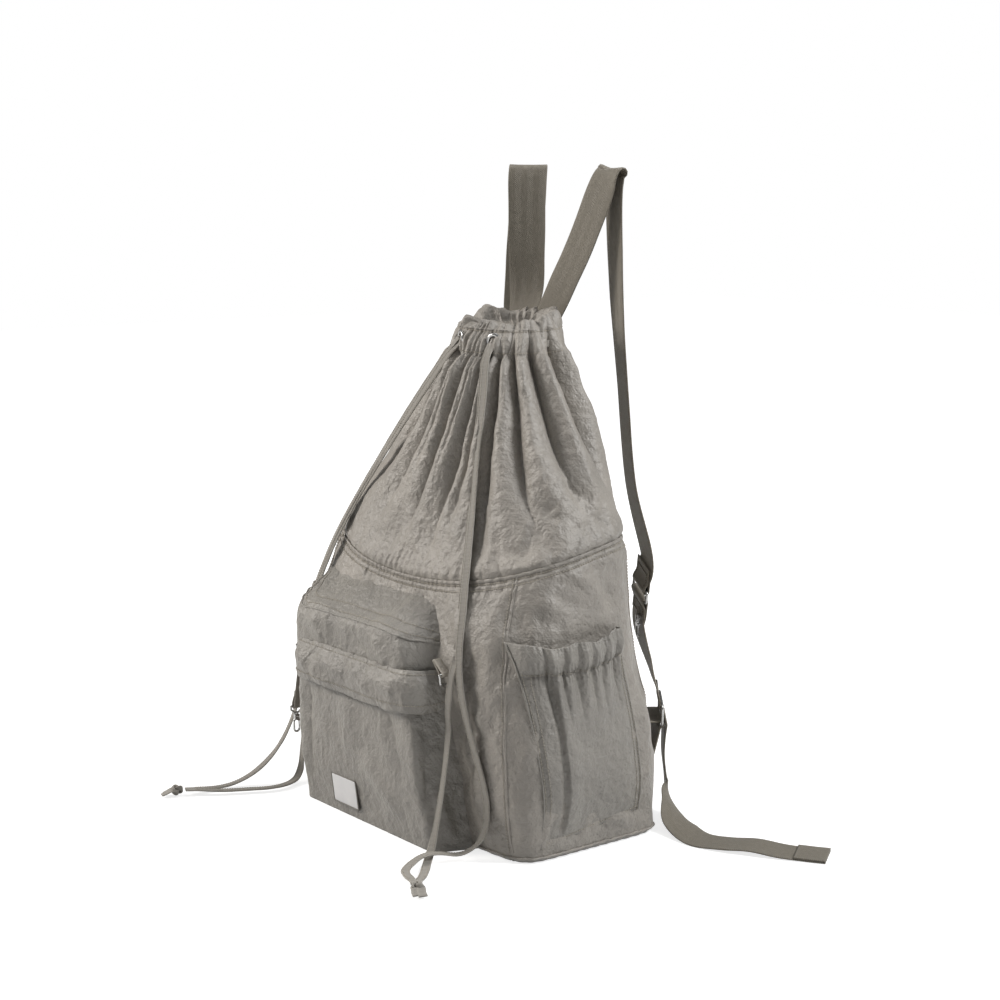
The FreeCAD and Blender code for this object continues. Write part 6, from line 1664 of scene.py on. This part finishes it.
class BAG_OT_drawcords(bpy.types.Operator):
    """Two flat drawcords: four strands from the eyelets to two knots on the floor"""

    bl_idname = "bag.drawcords"
    bl_label = "Drawcords"

    def execute(self, context):
        for side, (centre, towards) in KNOTS.items():
            centre, towards = np.array(centre), unit(np.array(towards))
            knot = joined(f"cord_knot_{side}", [
                knot_piece(f"cord_knot_{side}", centre, towards),
                knot_tail("tail_one", centre, towards, -2.2, 8.0),
                knot_tail("tail_two", centre, towards, 2.8, 10.5),
            ])
            dress(knot, "cord", [f"drawcord_knot_{side}"])
        for name in STRANDS:
            drawcord(name)
        return {"FINISHED"}


# ---------------------------------------------------------------- carried-over frame solids

FRAME_FINISHES = {
    "zip tape": ["zip_tape_upper", "zip_tape_lower"],
    "metal": [
        "zip_slider", "zip_pull", "key_clasp_eye", "key_clasp_hook", "key_clasp_gate", "strap_clasp_right",
        "strap_clasp_gate_right", "strap_clasp_left", "strap_clasp_gate_left",
    ],
    "cord": ["drawcord_run_right", "drawcord_run_left"],
}


class BAG_OT_frame_finishes(bpy.types.Operator):
    """Materials for the frame's own zip, clasps and hidden cord"""

    bl_idname = "bag.frame_finishes"
    bl_label = "Frame finishes"

    def execute(self, context):
        for name, nodes in FRAME_FINISHES.items():
            for node in nodes:
                paint(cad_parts[node], name)
        return {"FINISHED"}


# ---------------------------------------------------------------- stage


def stage_plane(name, corners, material):
    """Flat sheet that belongs to the stage and not to the bag."""
    mesh = bpy.data.meshes.new(name)
    mesh.from_pydata(corners, [], [(0, 1, 2, 3)])
    mesh.materials.append(material)
    new_object(name, mesh)


def floor_paint(level, glow):
    """Matt white studio floor. Rays from the camera, mirrors and glass see an added glow that brings it up to
    white."""
    tree, surface, coords = start("matt white floor", {
        "Roughness": 0.9, "Specular IOR Level": 0.0, "Base Color": linear(level),
        "Emission Color": linear("#ffffff"),
    })
    rays = add(tree, "LightPath").outputs
    seen = add(tree, "Math", {0: rays["Is Camera Ray"], 1: rays["Is Glossy Ray"]}, operation="MAXIMUM")
    seen = add(tree, "Math", {0: seen, 1: rays["Is Transmission Ray"]}, operation="MAXIMUM")
    away = add(tree, "VectorMath", {0: coords["Object"]}, operation="LENGTH").outputs["Value"]
    risen = add(tree, "MapRange", {0: away, 1: 0.45, 2: 1.3, 3: glow, 4: 1.0})
    strength = add(tree, "Math", {0: seen, 1: risen}, operation="MULTIPLY")
    tree.links.new(strength.outputs[0], surface.inputs["Emission Strength"])
    return bpy.data.materials["matt white floor"]


def soft_light(name, place, target, size, power, tint):
    """Square soft box that faces a target."""
    light = bpy.data.lights.new(name, "AREA")
    light.shape = "RECTANGLE"
    light.size, light.size_y = size
    light.energy = power
    light.color = linear(tint)[:3]
    lamp = new_object(name, light)
    aim = np.asarray(target, dtype=float) - np.asarray(place, dtype=float)
    lamp.location = place
    lamp.rotation_euler = mathutils.Vector(aim).to_track_quat("-Z", "Y").to_euler()


class BAG_OT_stage(bpy.types.Operator):
    """Pale floor, white surroundings, soft lights and the camera"""

    bl_idname = "bag.stage"
    bl_label = "Stage, lights and camera"

    def execute(self, context):
        scene = context.scene
        look = scene.bag_look
        corners = [(-6, -6, 0), (6, -6, 0), (6, 6, 0), (-6, 6, 0)]
        stage_plane("floor", corners, floor_paint("#bcbcbc", look.floor_glow))
        world = bpy.data.worlds.new("soft white surroundings")
        scene.world = world
        world.use_nodes = True
        tree = world.node_tree
        tree.nodes.clear()
        rays = add(tree, "LightPath").outputs
        seen = add(
            tree, "Math", {0: rays["Is Camera Ray"], 1: rays["Is Transmission Ray"]}, operation="MAXIMUM"
        )
        strength = add(tree, "MapRange", {"To Min": look.ambient, "To Max": 1.0, "Value": seen})
        sky = add(tree, "Background", {"Color": linear("#ffffff"), "Strength": strength})
        add(tree, "OutputWorld", {"Surface": sky})
        middle = (0.0, 0.0, 0.26)
        soft_light("key_softbox", (-1.7, -1.6, 1.5), middle, (0.9, 0.9), look.key_power, "#fffaf4")
        soft_light("side_softbox", (1.6, 0.9, 1.9), middle, (0.7, 0.7), look.side_power, "#ffffff")
        soft_light("top_softbox", (-0.4, 0.4, 2.6), middle, (1.8, 1.8), look.top_power, "#ffffff")
        camera = bpy.data.cameras.new("view")
        camera.sensor_width = 36.0
        camera.lens = look.lens
        camera.clip_end = 50.0
        holder = new_object("view", camera)
        holder.location = look.camera_place
        azimuth, pitch = look.camera_azimuth, look.camera_pitch
        level = math.cos(pitch)
        forward = mathutils.Vector((-math.sin(azimuth) * level, math.cos(azimuth) * level, -math.sin(pitch)))
        holder.rotation_euler = forward.to_track_quat("-Z", "Y").to_euler()
        scene.camera = holder
        scene.view_settings.view_transform = "Standard"
        return {"FINISHED"}


# ---------------------------------------------------------------- settings, panel and running order


# What has a darker and a lighter tone: name in the panel, what it is, and both tones as hex colours
TONES = {
    "cloth": ("Cloth", "the washed body cloth", "#827e78", "#a39d95"),
    "pocket": ("Pocket cloth", "the pockets' cloth", "#7c7974", "#96928b"),
    "webbing": ("Webbing", "the straps", "#6a6458", "#989184"),
    "cord": ("Cord", "the drawcords", "#8c8881", "#aaa69e"),
    "metal": ("Metal", "the plated fittings", "#8f8f8f", "#c9c8c5"),
}
# Strengths of the lights: name, description and default
STRENGTHS = {
    "key_power": ("Key light", "Power of the main softbox", 56.0),
    "side_power": ("Side light", "Power of the softbox on the bag's right", 47.0),
    "top_power": ("Top light", "Power of the softbox above", 16.0),
    "ambient": ("Ambient", "Strength of the white surroundings as light", 0.2),
    "floor_glow": ("Floor glow", "Brightness added to the floor where it is seen", 0.76),
}


def hex_colour(name, description, code):
    return bpy.props.StringProperty(
        name=name, description=f"{description}, as a hex colour", default=code, maxlen=7
    )


class BagLook(bpy.types.PropertyGroup):
    """Colours, fold depth, lights and camera of the dressed bag"""

    for key, (title, what, dark, light) in TONES.items():
        __annotations__[f"{key}_dark"] = hex_colour(f"{title}, darker", f"Darker tone of {what}", dark)
        __annotations__[f"{key}_light"] = hex_colour(f"{title}, lighter", f"Lighter tone of {what}", light)
    for key, (title, what, value) in STRENGTHS.items():
        __annotations__[key] = bpy.props.FloatProperty(name=title, description=what, default=value, min=0.0)
    plate: hex_colour("Label plate", "Colour of the bare label plate", "#d2d2d6")
    thread: hex_colour("Thread", "Colour of the sewing thread", "#a39c90")
    fold_depth: bpy.props.FloatProperty(
        name="Fold depth", description="Height of the folds for each millimetre they are drawn with",
        default=0.001, min=0.0, max=0.002, precision=4, unit="LENGTH",
    )
    lens: bpy.props.FloatProperty(
        name="Lens", description="Focal length of the camera, in millimetres", default=70.7, min=1.0,
    )
    camera_place: bpy.props.FloatVectorProperty(
        name="Camera", description="Place of the camera", subtype="XYZ", unit="LENGTH",
        default=(1.5553, -1.1749, 0.638),
    )
    camera_azimuth: bpy.props.FloatProperty(
        name="Camera azimuth", description="Direction the camera looks in, anticlockwise from +Y",
        subtype="ANGLE", default=math.radians(52.2),
    )
    camera_pitch: bpy.props.FloatProperty(
        name="Camera pitch", description="How far the camera looks down", subtype="ANGLE",
        default=math.radians(9.47),
    )
    del key, title, what, dark, light, value


STEPS = (
    "body", "mouth", "front_pocket", "side_pockets", "straps", "fittings", "drawcords", "frame_finishes",
    "stage",
)


class VIEW3D_PT_bag(bpy.types.Panel):
    """Settings and steps of the bag"""

    bl_label = "Bag"
    bl_space_type = "VIEW_3D"
    bl_region_type = "UI"
    bl_category = "Bag"

    def draw(self, context):
        look = context.scene.bag_look
        for name in BagLook.__annotations__:
            self.layout.prop(look, name)
        for step in STEPS:
            self.layout.operator(f"bag.{step}")


CLASSES = (
    BagLook, BAG_OT_body, BAG_OT_mouth, BAG_OT_front_pocket, BAG_OT_side_pockets, BAG_OT_straps,
    BAG_OT_fittings, BAG_OT_drawcords, BAG_OT_frame_finishes, BAG_OT_stage, VIEW3D_PT_bag,
)


def register():
    for kind in CLASSES:
        bpy.utils.register_class(kind)
    bpy.types.Scene.bag_look = bpy.props.PointerProperty(type=BagLook)


def unregister():
    del bpy.types.Scene.bag_look
    for kind in reversed(CLASSES):
        bpy.utils.unregister_class(kind)


def main():
    register()
    for step in STEPS:
        getattr(bpy.ops.bag, step)()


if __name__ == "__main__":
    main()
